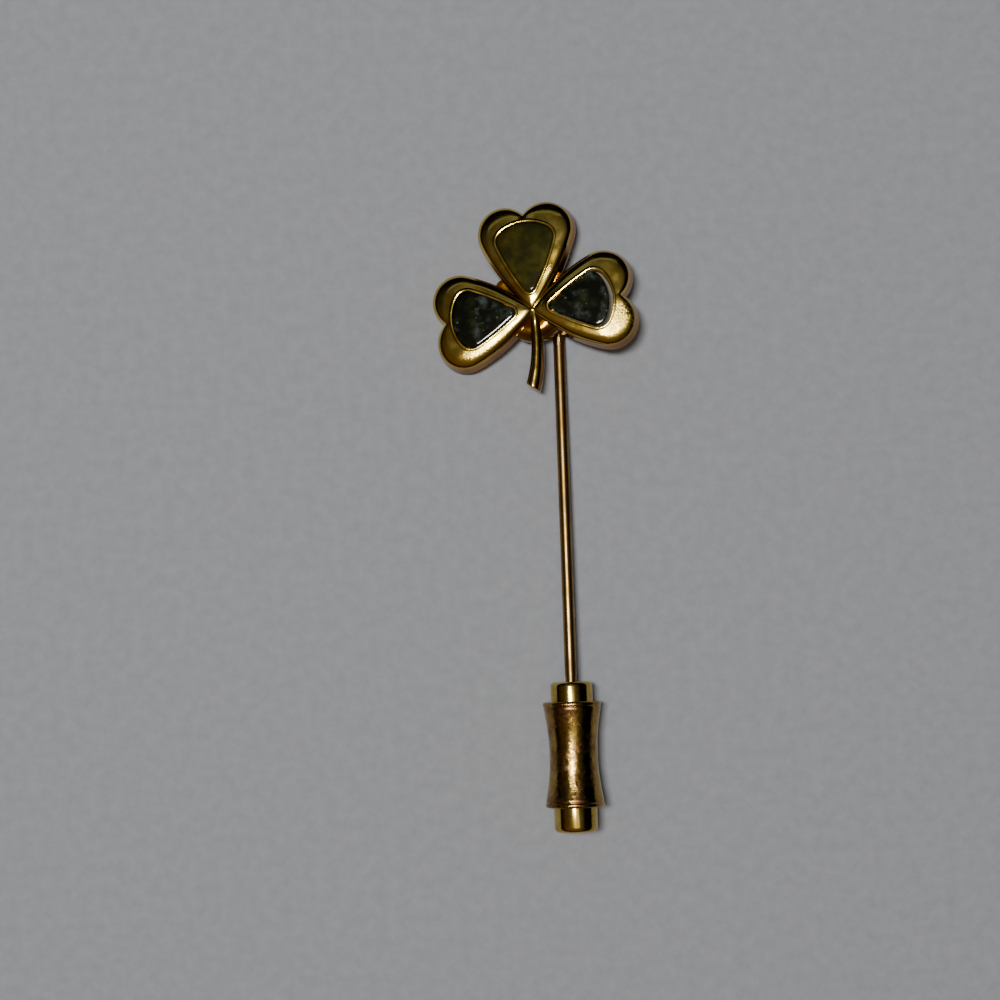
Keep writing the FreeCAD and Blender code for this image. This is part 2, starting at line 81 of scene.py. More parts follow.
joints = {joint["name"]: joint for joint in frame["joints"]}
up_the_wire = -Vector(joints["clutch_turn"]["axis"]).normalized()
face_up = Vector(joints["ball_1_slide"]["axis"]).normalized()
across = up_the_wire.cross(face_up)
origin = Vector(joints["clutch_turn"]["pos_m"]) + up_the_wire * CLUTCH_AT * MM

turn = Matrix((across, up_the_wire, face_up)).transposed().to_4x4()
PIN = Matrix.Translation(origin) @ turn @ Matrix.Scale(MM, 4)
HEAD = PIN @ Matrix.Translation(CASTING_BACK) @ Matrix.Rotation(HEAD_TURN, 4, "Z")
print("the wire's bend is at", [round(value, 4) for value in origin])

# %% [markdown]
# ## Skins made from rings
# Every piece here is a stack of outlines: a heart that shrinks as it climbs, a D that
# travels along the stem, a circle that grows and shrinks up the clutch. Joining each
# outline to the next with four-sided faces makes a skin, and a fan over each end closes
# it. A closed skin is what a 3-D printer or a boolean needs.

# %% Join rings of points into a closed skin
SOFT_ANGLE = math.radians(38)


def finish_mesh(mesh, angle=SOFT_ANGLE):
    """Turns the faces outwards and smooths all but the sharp corners."""
    work = bmesh.new()
    work.from_mesh(mesh)
    bmesh.ops.remove_doubles(work, verts=work.verts, dist=1e-7)
    bmesh.ops.recalc_face_normals(work, faces=work.faces)
    work.to_mesh(mesh)
    work.free()
    mesh.shade_smooth()
    mesh.set_sharp_from_angle(angle=angle)


def skin(name, rings, place, endless=False):
    """A piece from rings of points in millimetres; endless joins the last to the first."""
    rings = np.asarray(rings, float)
    count, around = rings.shape[:2]
    points = list(rings.reshape(-1, 3))
    faces = []
    for i in range(count if endless else count - 1):
        low, high = i * around, ((i + 1) % count) * around
        for j in range(around):
            k = (j + 1) % around
            faces.append((low + j, low + k, high + k, high + j))
    if not endless:
        for ring in (0, count - 1):
            middle = len(points)
            points.append(rings[ring].mean(0))
            first = ring * around
            faces += [(middle, first + j, first + (j + 1) % around) for j in range(around)]
    mesh = bpy.data.meshes.new(name)
    mesh.from_pydata([place @ Vector(point) for point in points], [], faces)
    finish_mesh(mesh)
    piece = bpy.data.objects.new(name, mesh)
    bpy.context.scene.collection.objects.link(piece)
    return piece


print("corners sharper than", round(math.degrees(SOFT_ANGLE)), "degrees stay sharp")

# %% [markdown]
# ## Joining solids for good
# The casting is one piece of metal, so its leaves, webs and stem must not stay as shapes
# that pass through each other. A boolean union leaves only the outer skin, and a
# difference drills a hole. The modifier's result is copied into a new mesh, and the
# shapes it was made from are thrown away.

# %% Unite or cut closed skins
def combined(name, first, others, operation, place):
    """One piece from a solid and several others, joined or cut away, then put in place."""
    for other in others:
        cut = first.modifiers.new("cut", "BOOLEAN")
        cut.operation = operation
        cut.solver = "MANIFOLD"
        cut.object = other
    shown = bpy.context.evaluated_depsgraph_get()
    mesh = bpy.data.meshes.new_from_object(first.evaluated_get(shown))
    mesh.name = name
    mesh.transform(place)
    finish_mesh(mesh)
    piece = bpy.data.objects.new(name, mesh)
    bpy.context.scene.collection.objects.link(piece)
    for used in [first, *others]:
        bpy.data.objects.remove(used)
    return piece


print("booleans run in millimetres, then the result is put in place")

# %% [markdown]
# ## The heart of a leaf
# Each leaf is a heart: two flanks that bow out a little from the tip, and two round lobes
# that meet in a notch. Arcs give all of it, so the outline is worked out from five sizes.
# The points are spread evenly along the outline, with one point exactly on the tip and
# one on the notch, so both stay sharp.

# %% Draw the outline of a leaf
LEAF_REACH = {"top": 10.85, "left": 10.1, "right": 10.15}
LEAF_TURN = {"top": 0.0, "left": 91.7, "right": -88.2}
LEAF_WIDTH = 9.7
LOBE_R = 2.75
LOBE_OUT = 2.1
FLANK_TURN = math.radians(20)
FLANK_POINTS = 64
LOBE_POINTS = 66


def bowed(start, end, turn, count):
    """Points on an arc that turns by 2 x turn and bows to the right of its way."""
    chord = end - start
    along = chord / np.hypot(*chord)
    out = np.array([along[1], -along[0]])
    radius = np.hypot(*chord) / 2 / math.sin(turn)
    angles = np.linspace(-turn, turn, count)
    middle = (start + end) / 2
    rise = radius * (np.cos(angles) - math.cos(turn))
    return middle + np.outer(radius * np.sin(angles), along) + np.outer(rise, out)


def heart(reach):
    """The leaf's outline, from the tip up the right side and down the left."""
    middle = np.array([LOBE_OUT, reach - LOBE_R])
    joint = middle + LOBE_R * np.array([math.cos(FLANK_TURN), -math.sin(FLANK_TURN)])
    slope = math.atan2(joint[1], joint[0])
    flank = bowed(np.zeros(2), joint, math.pi / 2 - FLANK_TURN - slope, FLANK_POINTS)
    last = math.pi - math.acos(LOBE_OUT / LOBE_R)
    sweep = np.linspace(-FLANK_TURN, last, LOBE_POINTS)
    lobe = middle + LOBE_R * np.stack([np.cos(sweep), np.sin(sweep)], 1)
    right = np.concatenate([flank, lobe[1:]])
    left = right[1:-1][::-1] * (-1, 1)
    return np.concatenate([right, left])


print("points round a leaf", len(heart(LEAF_REACH["top"])))

# %% [markdown]
# ## The rounded triangle of a stone
# The stones are triangles with bowed sides and round corners. The same outline grown by a
# twentieth of a millimetre is the pocket, and grown a little more it is the outside of
# the thin lip that holds the stone, so one function with a "grow" serves all three.

# %% Draw the outline of a stone
LEAF_BORDER = 1.95
STONE_TIP = 1.75
STONE_W = 5.8
SIDE_R = 26.0
FAR_BOW = 0.5
TIP_R = 0.55
CORNER_R = 1.2
STONE_GAP = 0.05
LIP_W = 0.28
SIDE_POINTS = 44
CORNER_POINTS = 22


def sweep_about(centre, radius, start, end, count):
    """Points on a circle, turning left from the way of one point to that of another."""
    first, last = (math.atan2(*(point - centre)[::-1]) for point in (start, end))
    if last < first:
        last += 2 * math.pi
    angles = np.linspace(first, last, count)
    return centre + radius * np.stack([np.cos(angles), np.sin(angles)], 1)


def stone_outline(reach, grow):
    """The stone's outline, grown evenly, from the tip round to the right."""
    corner_x = STONE_W / 2 - CORNER_R
    corner_y = reach - LEAF_BORDER - FAR_BOW - CORNER_R
    corners = np.array([(0, STONE_TIP + TIP_R), (corner_x, corner_y), (-corner_x, corner_y)])
    radii = (TIP_R, CORNER_R, CORNER_R)
    far_r = (corner_x**2 + FAR_BOW**2) / (2 * FAR_BOW) + CORNER_R
    sides = []
    for i, bow in enumerate((SIDE_R, far_r, SIDE_R)):
        start, end = corners[i], corners[(i + 1) % 3]
        near, far = bow - radii[i], bow - radii[(i + 1) % 3]
        chord = np.hypot(*(end - start))
        forward = (end - start) / chord
        share = (near**2 - far**2 + chord**2) / (2 * chord)
        inward = np.array([-forward[1], forward[0]])
        middle = start + forward * share + inward * math.sqrt(near**2 - share**2)
        sides.append(sweep_about(middle, bow + grow, start, end, SIDE_POINTS))
    outline = []
    for i, side in enumerate(sides):
        after = (i + 1) % 3
        outline += list(side)
        turn_r = radii[after] + grow
        outline += list(sweep_about(corners[after], turn_r, side[-1], sides[after][0], CORNER_POINTS)[1:-1])
    return np.array(outline)


def crossing(outline, centre, ways):
    """Where rays from a centre, at given angles, cross a closed outline."""
    arms = outline - centre
    angles = np.arctan2(arms[:, 1], arms[:, 0])
    order = np.argsort(angles)
    lengths = np.hypot(arms[:, 0], arms[:, 1])
    far = np.interp(ways, angles[order], lengths[order], period=2 * math.pi)
    return centre + far[:, None] * np.stack([np.cos(ways), np.sin(ways)], 1)


print("points round a stone", len(stone_outline(LEAF_REACH["top"], 0)))

# %% [markdown]
# ## One leaf, from its back to its pocket
# The wall leans in a little, as a casting's must to leave its mould. Above it the edge is
# rounded over like a pillow's, and the border then rises by about five degrees to the foot
# of a thin lip. Towards the tip the wall's top climbs, so that the three leaves meet in the
# middle as sharp ridges. Inside the lip a pocket drops to a flat floor.

# %% Stack the rings of a leaf
HEIGHTS = {"wall": 1.3, "tip": 1.75, "crest": 2.08, "foot": 2.14, "lip": 2.2, "floor": 0.95}
WALL_DRAFT = 0.22
EDGE_BREAK = 0.06
CREST_AT = 0.66
CREST_FALL = 0.05
EDGE_ARC = math.radians(80)
TIP_ROUND = 2.4
WIDE_BORDER = 1.3
PILLOW_RINGS = 13
SLOPE_RINGS = 8
LIP_RINGS = 9
LIP_ARC = 2.5
LIP_FULLNESS = 0.7
LEAF_MIDDLE = 0.55
WALL_STEPS = ((EDGE_BREAK, 0), (0, 0.05), (0, 0.35), (0, 0.7), (0, 1))
POCKET_HEIGHTS = (1.8, 1.3, HEIGHTS["floor"])


def smooth(value):
    """0 below 0, 1 above 1, and a soft step between."""
    value = np.clip(value, 0, 1)
    return value * value * (3 - 2 * value)


def leaf_rings(reach):
    """The rings of one leaf, each with the same number of points."""
    edge = heart(reach)
    centre = np.array([0, reach * LEAF_MIDDLE])
    arms = edge - centre
    ways = np.arctan2(arms[:, 1], arms[:, 0])
    foot = crossing(stone_outline(reach, STONE_GAP + LIP_W), centre, ways)
    mouth = crossing(stone_outline(reach, STONE_GAP), centre, ways)
    border = np.hypot(*(edge - foot).T)
    near_tip = 1 - smooth(edge[:, 1] / TIP_ROUND)
    wall = HEIGHTS["wall"] + (HEIGHTS["tip"] - HEIGHTS["wall"]) * near_tip
    crest = HEIGHTS["crest"] - CREST_FALL * (1 - smooth(border / WIDE_BORDER))
    rings = []

    def add_ring(outline, height):
        height = np.broadcast_to(height, len(outline))
        rings.append(np.column_stack([outline, height]))

    for inward, share in WALL_STEPS:
        lean = 1 + 2 * (WALL_DRAFT * (1 - share) - inward) / LEAF_WIDTH
        add_ring(centre + arms * lean, wall * share)
    for step in range(1, PILLOW_RINGS + 1):
        angle = EDGE_ARC * step / PILLOW_RINGS
        share = CREST_AT * (1 - math.cos(angle)) / (1 - math.cos(EDGE_ARC))
        climb = (crest - wall) * math.sin(angle) / math.sin(EDGE_ARC)
        add_ring(edge + (foot - edge) * share, wall + climb)
    for step in range(1, SLOPE_RINGS + 1):
        part = step / SLOPE_RINGS
        share = CREST_AT + (1 - CREST_AT) * part
        add_ring(edge + (foot - edge) * share, crest + (HEIGHTS["foot"] - crest) * part)
    for step in range(1, LIP_RINGS + 1):
        part = step / LIP_RINGS
        rise = (HEIGHTS["lip"] - HEIGHTS["foot"]) * math.sin(part * LIP_ARC) ** LIP_FULLNESS
        add_ring(foot + (mouth - foot) * part, HEIGHTS["foot"] + rise)
    for height in POCKET_HEIGHTS:
        add_ring(mouth, height)
    return rings


leaves = []
for leaf, reach in LEAF_REACH.items():
    leaf_turn = Matrix.Rotation(math.radians(LEAF_TURN[leaf]), 4, "Z")
    leaves.append(skin("leaf_" + leaf, leaf_rings(reach), leaf_turn))
print("faces in a leaf", len(leaves[0].data.polygons))

# %% [markdown]
# ## The webs between the leaves
# Low metal joins the leaves behind their tips: a rough disc, drawn out into a tongue
# between the top leaf and each of its neighbours. It climbs in a soft fillet to the middle,
# where molten metal would have pooled. The outline is a circle plus two bumps.

# %% Stack the rings of the webs
WEB_R = 3.1
WEB_TONGUE = 1.7
TONGUE_WIDE = math.radians(32)
WEB_H = 1.1
WEB_RISE = 0.85
WEB_POINTS = 180
WEB_DISH = 0.1
MIDDLE_R = 1.1
TONGUES = (math.radians(45), math.radians(135))
WEB_EDGE = ((0.05, 0), (0, 0.06), (0, 0.92), (0.03, 1.02), (0.1, 1.08))
WEB_SHARES = np.linspace(0.93, 0.04, 20)


def web_rings():
    """A low dish with two tongues that climbs to the middle."""
    ways = np.linspace(0, 2 * math.pi, WEB_POINTS, endpoint=False)
    far = np.full(WEB_POINTS, WEB_R)
    for middle in TONGUES:
        near = np.clip(np.abs(ways - middle) / TONGUE_WIDE, 0, 1)
        far += WEB_TONGUE * np.cos(near * math.pi / 2) ** 2
    circle = np.stack([np.cos(ways), np.sin(ways)], 1)
    rings = []
    for inward, height in WEB_EDGE:
        rings.append(np.column_stack([circle * (far - inward)[:, None], np.full(WEB_POINTS, height)]))
    for share in WEB_SHARES:
        radius = (far - WEB_EDGE[-1][0]) * share
        dish = WEB_DISH * np.sin(np.pi * share)
        height = WEB_H - dish + WEB_RISE * np.exp(-((radius / MIDDLE_R) ** 2))
        rings.append(np.column_stack([circle * radius[:, None], height]))
    return rings


webs = skin("webs", web_rings(), Matrix())
print("faces in the webs", len(webs.data.polygons))

# %% [markdown]
# ## The stem
# The stem is a half-round bar that leaves the middle straight and sweeps to the left. Its
# section is a D: two short walls under a round top. It grows a little wider towards the
# cut end, and the last sections shrink to take the sharpness off the cut.

# %% Stack the sections of the stem
STEM_REACH = 7.7
STEM_START_X = 0.08
STEM_SWEEP = 1.0
STEM_END_TURN = math.radians(36)
STEM_TOP_W = 0.85
STEM_END_W = 1.55
STEM_H = 1.55
STEM_SECTIONS = 56
STEM_ROUND = 0.12
STEM_ROOT_RISE = 0.35
STEM_ROOT_SHARE = 0.1
CROWN_SHARE = 1.2
CROWN_MOST = 0.75
CROWN_POINTS = 21
CUT_ANGLES = (0.5, 1.0, 1.45)


def stem_section(share, keep):
    """One D-shaped section; keep below 1 shrinks it where the cut end is rounded."""
    shrink = STEM_ROUND * (1 - keep)
    half = (STEM_TOP_W + (STEM_END_W - STEM_TOP_W) * share) / 2 - shrink
    top = STEM_H - shrink + STEM_ROOT_RISE * math.exp(-((share / STEM_ROOT_SHARE) ** 2))
    shoulder = top - min(half * CROWN_SHARE, CROWN_MOST)
    sweep = np.linspace(0, math.pi, CROWN_POINTS)
    crown = np.stack([half * np.cos(sweep), shoulder + (top - shoulder) * np.sin(sweep)], 1)
    right = [(half, 0), (half, shoulder * 0.5)]
    left = [(-half, shoulder * 0.5), (-half, 0), (0, 0)]
    section = np.concatenate([right, crown, left])
    lean = STEM_END_TURN * share**2
    x = STEM_START_X - STEM_SWEEP * share**3 + section[:, 0] * math.cos(lean)
    y = -STEM_REACH * share - section[:, 0] * math.sin(lean)
    return np.column_stack([x, y, section[:, 1]])


def stem_rings():
    """Sections along the stem, from inside the casting to the cut end."""
    shares = np.linspace(0, 1 - STEM_ROUND / STEM_REACH, STEM_SECTIONS)
    rings = [stem_section(share, 1) for share in shares]
    for angle in CUT_ANGLES:
        share = 1 - STEM_ROUND * (1 - math.sin(angle)) / STEM_REACH
        rings.append(stem_section(share, math.cos(angle)))
    return rings


stem = skin("stem", stem_rings(), Matrix())
print("faces in the stem", len(stem.data.polygons))

# %% [markdown]
# ## One casting
# The leaves, webs and stem become one solid. Polishing a casting by hand leaves a faint
# unevenness, which is what makes its reflections swim, so each point moves along its
# normal by up to fourteen thousandths of a millimetre, always inwards, so the size holds.

# %% Unite the casting and let it swim a little
HAND_POLISH = 0.014 * MM
POLISH_SIZE = 1.3 * MM


def hand_polish(piece, depth, size):
    """Moves each point inwards by smooth seeded noise."""
    mesh = piece.data
    normals = [vertex.normal.copy() for vertex in mesh.vertices]
    for vertex, normal in zip(mesh.vertices, normals):
        share = noise.noise(vertex.co / size) * 0.5 + 0.5
        vertex.co -= normal * depth * share


casting = combined("shamrock_casting", leaves[0], leaves[1:] + [webs, stem], "UNION", HEAD)
hand_polish(casting, HAND_POLISH, POLISH_SIZE)
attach(casting, "head_pin")
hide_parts("shamrock_head")
print("faces in the casting", len(casting.data.polygons))

# %% [markdown]
# ## Painted shade in the casting's hollows, and where it is worn
# The low webs get painted shade: a darker orange gold that stands in for the shade and
# the gold-on-gold reflection there. Rubbing has left tiny pits on a few proud places.
# Both are stored on the points as attributes, which the gold's nodes can read, and which
# belong to the surface and not to the camera.

# %% Store the painted shade of the hollows and the worn places
HOLLOW_LOW = 1.15
HOLLOW_HIGH = 1.75
# x, y and radius of each worn place in millimetres on the shamrock, and how worn it is
WORN_PLACES = (
    (9.3, -1.9, 1.7, 1.0),
    (7.9, -3.0, 1.1, 0.7),
    (-5.2, -3.2, 1.2, 0.55),
    (-3.2, -1.9, 1.0, 0.55),
    (2.2, 3.6, 0.9, 0.35),
    (-6.8, -3.9, 1.0, 0.5),
)


def store(piece, name, values):
    """Writes one number per point as an attribute."""
    layer = piece.data.attributes.new(name, "FLOAT", "POINT")
    layer.data.foreach_set("value", np.asarray(values, np.float32))


on_head = HEAD.inverted()
spots = np.array([on_head @ vertex.co for vertex in casting.data.vertices])
# painted shade: the lower a point lies on the casting, the more darker orange gold it gets
store(casting, "hollow", 1 - smooth((spots[:, 2] - HOLLOW_LOW) / (HOLLOW_HIGH - HOLLOW_LOW)))
worn = np.zeros(len(spots))
for x, y, size, share in WORN_PLACES:
    gap = np.hypot(spots[:, 0] - x, spots[:, 1] - y) / size
    worn = np.maximum(worn, share * np.exp(-(gap**2)))
store(casting, "worn", worn)
print("worn points", int((worn > 0.3).sum()))

# %% [markdown]
# ## The stones
# Each stone is a thin cabochon: a polished slice with a broken edge and a top that is
# domed by a few hundredths of a millimetre. The right one was cut a little small for its
# pocket, so a crescent of gold floor shows at its upper edge.

# %% Stack the rings of the stones
STONE_LOW = 1.05
STONE_EDGE = 2.0
BEVEL_W = 0.22
BEVEL_RISE = 0.12
DOME_RISE = 0.06
DOME_EDGE = 0.89
DOME_SHARES = np.linspace(0.9, 0.05, 12)
BEVEL_STEPS = 6
BEVEL_ARC = 1.5
STONE_HALF = 3.0
FOOT_BREAK = 0.05
GIRDLE_AT = 1.5
# millimetres trimmed off beyond the usual fit, and how far the stone slips along its leaf
STONE_CUT = {"top": (0.0, 0.0), "left": (0.0, 0.0), "right": (0.17, -0.16)}


def stone_rings(reach, small, slip):
    """The rings of one stone; small shrinks it and slip moves it along its leaf."""
    outline = stone_outline(reach, -small) + (0, slip)
    centre = outline.mean(0)
    rings = []
    side = (
        (FOOT_BREAK, STONE_LOW),
        (0, STONE_LOW + FOOT_BREAK),
        (0, GIRDLE_AT),
        (0, STONE_EDGE - FOOT_BREAK),
    )
    for inward, height in side:
        rings.append((1 - inward / STONE_HALF, height))
    for step in range(BEVEL_STEPS + 1):
        part = step / BEVEL_STEPS
        share = 1 - BEVEL_W / STONE_HALF * part
        rings.append((share, STONE_EDGE + BEVEL_RISE * math.sin(part * BEVEL_ARC)))
    table = 1 - BEVEL_W / STONE_HALF
    for share in DOME_SHARES * table:
        lift = DOME_RISE * (1 - (share / DOME_EDGE) ** 2)
        rings.append((share, STONE_EDGE + BEVEL_RISE + lift))
    arms = outline - centre
    return [
        np.column_stack([centre + arms * share, np.full(len(arms), height)])
        for share, height in rings
    ]


stones = {}
for leaf, (small, slip) in STONE_CUT.items():
    place = HEAD @ Matrix.Rotation(math.radians(LEAF_TURN[leaf]), 4, "Z")
    piece = skin("cabochon_" + leaf, stone_rings(LEAF_REACH[leaf], small, slip), place)
    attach(piece, "head_pin")
    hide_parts("stone_" + leaf)
    stones[leaf] = piece
print("stones", sorted(stones))

# %% [markdown]
# ## The wire
# The wire comes down from the pad, bends, and runs straight to its point. Near the clutch
# a short taper steps it down to the nose that the balls grip. A circle is swept along the
# path, and its radius changes where the taper and the point are.

# %% Sweep the wire
WIRE_R = 0.6
NOSE_R = 0.55
STANDOFF = 2.0
BEND_R = 1.25
PAD_Y = 0.2
BEND_STEPS = 22
WIRE_SIDES = 40
NECK_AT = 36.95
TAPER = 0.7
POINT_AT = 48.7
POINT_L = 1.6
POINT_R = 0.13
POINT_ROUND = 0.06
STRAIGHT_AT = 2.0
STRAIGHT_STEPS = 30
NECK_STEP = 0.5


def swept(path, sides):
    """Rings round a path in the pin's middle plane: (y, z, lean, radius) points."""
    sweep = np.linspace(0, 2 * math.pi, sides, endpoint=False)
    rings = []
    for y, z, lean, radius in path:
        ring = np.stack(
            [
                radius * np.cos(sweep),
                y + radius * np.sin(sweep) * math.sin(lean),
                z + radius * np.sin(sweep) * math.cos(lean),
            ],
            1,
        )
        rings.append(ring)
    return rings


heel = PAD_Y - BEND_R
path = [(PAD_Y, STANDOFF, math.pi / 2, WIRE_R)]
for step in range(BEND_STEPS + 1):
    lean = math.pi / 2 * (1 - step / BEND_STEPS)
    path.append((heel + BEND_R * math.sin(lean), BEND_R * (1 - math.cos(lean)), lean, WIRE_R))
for along in np.linspace(STRAIGHT_AT, NECK_AT - TAPER, STRAIGHT_STEPS):
    path.append((-along, 0, 0, WIRE_R))
for along in (NECK_AT, NECK_AT + NECK_STEP, POINT_AT - POINT_L):
    path.append((-along, 0, 0, NOSE_R))
path.append((-POINT_AT + POINT_ROUND, 0, 0, POINT_R))
path.append((-POINT_AT, 0, 0, POINT_R - POINT_ROUND))

wire = skin("pin_stem_wire", swept(path, WIRE_SIDES), PIN)
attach(wire, "head_pin")
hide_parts("pin_wire")
print("wire sections", len(path))

# %% [markdown]
# ## Turned pieces
# The pad, the solder's fillet and the clutch are all round, as if turned on a lathe. Their
# profiles are short lists of corners, each with how much to round it. A rounded corner is
# drawn as a small curve between a point before the corner and one after it.

# %% Round the corners of a profile and turn it
TURN_SIDES = 128
CORNER_STEPS = 6


def rounded(corners):
    """A profile from (along, radius, rounding) corners."""
    points = []
    for i, (along, radius, pull) in enumerate(corners):
        here = np.array([along, radius], float)
        if pull == 0:
            points.append(here)
            continue
        before = np.array(corners[i - 1][:2], float) - here
        after = np.array(corners[(i + 1) % len(corners)][:2], float) - here
        start = here + before / np.hypot(*before) * pull
        end = here + after / np.hypot(*after) * pull
        for part in np.linspace(0, 1, CORNER_STEPS):
            points.append((1 - part) ** 2 * start + 2 * part * (1 - part) * here + part**2 * end)
    return points


def turned(name, profile, place, endless=False, sides=TURN_SIDES):
    """Turns (along, radius) points about the pin's axis, from the shamrock to the tip."""
    sweep = np.linspace(0, 2 * math.pi, sides, endpoint=False)
    rings = [
        np.stack([radius * np.cos(sweep), np.full(sides, -along), radius * np.sin(sweep)], 1)
        for along, radius in profile
    ]
    return skin(name, rings, place, endless)


print("sides of a turned piece", TURN_SIDES)

# %% [markdown]
# ## The pad and its solder
# On the back a round pad carries the wire. The solder that holds it has run out into a
# small fillet. Both are turned about the end of the wire, so their axis is turned to
# point out of the casting's back.

# %% Turn the pad and the solder
PAD_R = 1.8
PAD_T = 0.45
SOLDER_GAP = 0.05
SOLDER_LEG = 0.35
FILLET_LOW = 0.05
FILLET_IN = 0.12
FILLET_CLIMB = 0.25
PAD_SIDES = 96

on_back = PIN @ Matrix.Translation((0, PAD_Y, STANDOFF)) @ Matrix.Rotation(math.pi / 2, 4, "X")
hole = WIRE_R + SOLDER_GAP
pad_corners = [(0, hole, 0), (0, PAD_R, 0), (PAD_T, PAD_R, 0.12), (PAD_T, hole, 0)]
pad = turned("back_pad", rounded(pad_corners), on_back, endless=True, sides=PAD_SIDES)
solder_corners = [
    (0, WIRE_R, 0),
    (0, hole, 0),
    (PAD_T, hole, 0),
    (PAD_T, hole + SOLDER_LEG, 0),
    (PAD_T + FILLET_LOW, hole + FILLET_IN, 0.1),
    (PAD_T + FILLET_CLIMB, WIRE_R, 0),
]
solder = turned("solder_fillet", rounded(solder_corners), on_back, endless=True, sides=PAD_SIDES)
for piece, node, slot in ((pad, "pin_pad", "gold_casting"), (solder, "solder_joint", "solder")):
    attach(piece, "head_pin")
    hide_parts(node)
print("pad at", [round(value, 4) for value in on_back.translation])

# %% [markdown]
# ## The clutch's nub and ball cage
# One turning makes the nub that shows above the sleeve and the slim cage inside it, with a
# bore down the middle for the wire. Three holes let the locking balls reach the wire. The
# holes are drilled with a boolean, as they would be with a drill.

# %% Turn the core and drill it
CLUTCH = PIN @ Matrix.Translation((0, -CLUTCH_AT, 0))
NUB_R = 2.1
NUB_L = 3.0
CORE_R = 1.45
BORE_R = 0.65
FUNNEL_R = 1.05
CAP_AT = 12.0
SPIGOT_R = 1.15
SPIGOT_L = 1.2
BORE_END = 12.1
BALL_AT = 5.32
BALL_HOLE_R = 0.53
ON_AXIS = 0.02
FUNNEL_L = 0.5
DRILL_L = (0.1, 2.0)
DRILL_SIDES = 40

core_corners = [
    (CAP_AT + SPIGOT_L, ON_AXIS, 0),
    (CAP_AT + SPIGOT_L, SPIGOT_R, 0),
    (CAP_AT, SPIGOT_R, 0),
    (CAP_AT, CORE_R, 0),
    (NUB_L, CORE_R, 0),
    (NUB_L, NUB_R, 0.06),
    (0, NUB_R, 0.45),
    (0, FUNNEL_R, 0.12),
    (FUNNEL_L, BORE_R, 0.2),
    (BORE_END, BORE_R, 0),
    (BORE_END, ON_AXIS, 0),
]
core = turned("core_blank", rounded(core_corners), Matrix())
drills = []
for number in (1, 2, 3):
    way = Vector(joints[f"ball_{number}_slide"]["axis"])
    aim = (PIN.inverted().to_3x3() @ way).normalized()
    stand = Matrix.Translation((0, -BALL_AT, 0)) @ aim.to_track_quat("Y", "Z").to_matrix().to_4x4()
    bit = [(-along, BALL_HOLE_R) for along in sorted(DRILL_L, reverse=True)]
    drills.append(turned(f"drill_{number}", bit, stand, sides=DRILL_SIDES))
core = combined("clutch_nub_core", core, drills, "DIFFERENCE", CLUTCH)
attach(core, "clutch")
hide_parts("clutch_core")
print("faces in the core", len(core.data.polygons))

# %% [markdown]
# ## The end cap
# A closed cap is pressed over the cage's spigot. Its rim is well rounded, and a turning
# tool has left the faintest hollow in its end.

# %% Turn the end cap
CAP_R = 2.15
CAP_L = 2.85
CLUTCH_L = CAP_AT + CAP_L
HOLLOW_R = 1.2
HOLLOW_DEEP = 0.05

cap_corners = [
    (CAP_AT + SPIGOT_L, ON_AXIS, 0),
    (CAP_AT + SPIGOT_L, SPIGOT_R, 0),
    (CAP_AT, SPIGOT_R, 0),
    (CAP_AT, CAP_R, 0.05),
    (CLUTCH_L, CAP_R, 0.6),
    (CLUTCH_L, HOLLOW_R, 0.3),
    (CLUTCH_L - HOLLOW_DEEP, HOLLOW_R / 2, 0.2),
    (CLUTCH_L - HOLLOW_DEEP, ON_AXIS, 0),
]
cap = turned("clutch_end_cap", rounded(cap_corners), CLUTCH)
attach(cap, "clutch")
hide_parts("end_cap")
print("faces in the cap", len(cap.data.polygons))

# %% [markdown]
# ## The waisted sleeve
# Two fingers pull this sleeve towards the point to let the wire go, so it is drawn in at
# the waist. A small round shoulder runs round each end. Years of fingers have dented the
# thin metal a little, which the same seeded noise as on the casting gives.

# %% Turn the sleeve
SLEEVE_TOP = 1.95
SLEEVE_END = 12.4
FLARE_TOP_R = 2.95
FLARE_END_R = 2.98
WAIST_R = 2.42
WAIST_SHARE = 0.445
WAIST_AT = SLEEVE_TOP + (SLEEVE_END - SLEEVE_TOP) * WAIST_SHARE
WAIST_STEPS = 60
WAIST_SKIP = 2
RIM_L = 0.35
LIP_END = 0.42
GROOVE_AT = 0.5
GROOVE_DEEP = 0.12
LIP_BULGE = 0.02
DENT_DEEP = 0.03 * MM
DENT_SIZE = 1.1 * MM
GUIDE_AT = 10.7
CHAMBER_R = 2.0
FLANGE_R = 1.5
CHAMBER_AT = 3.4
FLANGE_AT = 3.1
TOP_BORE_R = 2.15
END_BORE_R = 2.2


def through(first, middle, last, count):
    """Points on the circle through three (along, radius) points."""
    a, b, c = (np.array(point) for point in (first, middle, last))
    sides = np.array([b - a, c - b])
    rests = np.array([b @ b - a @ a, c @ c - b @ b]) / 2
    centre = np.linalg.solve(sides, rests)
    angles = [math.atan2(*(point - centre)[::-1]) for point in (a, b, c)]
    sweep = np.linspace(angles[0], angles[2], count)
    radius = np.hypot(*(a - centre))
    return [tuple(centre + radius * np.array([math.cos(s), math.sin(s)])) for s in sweep]


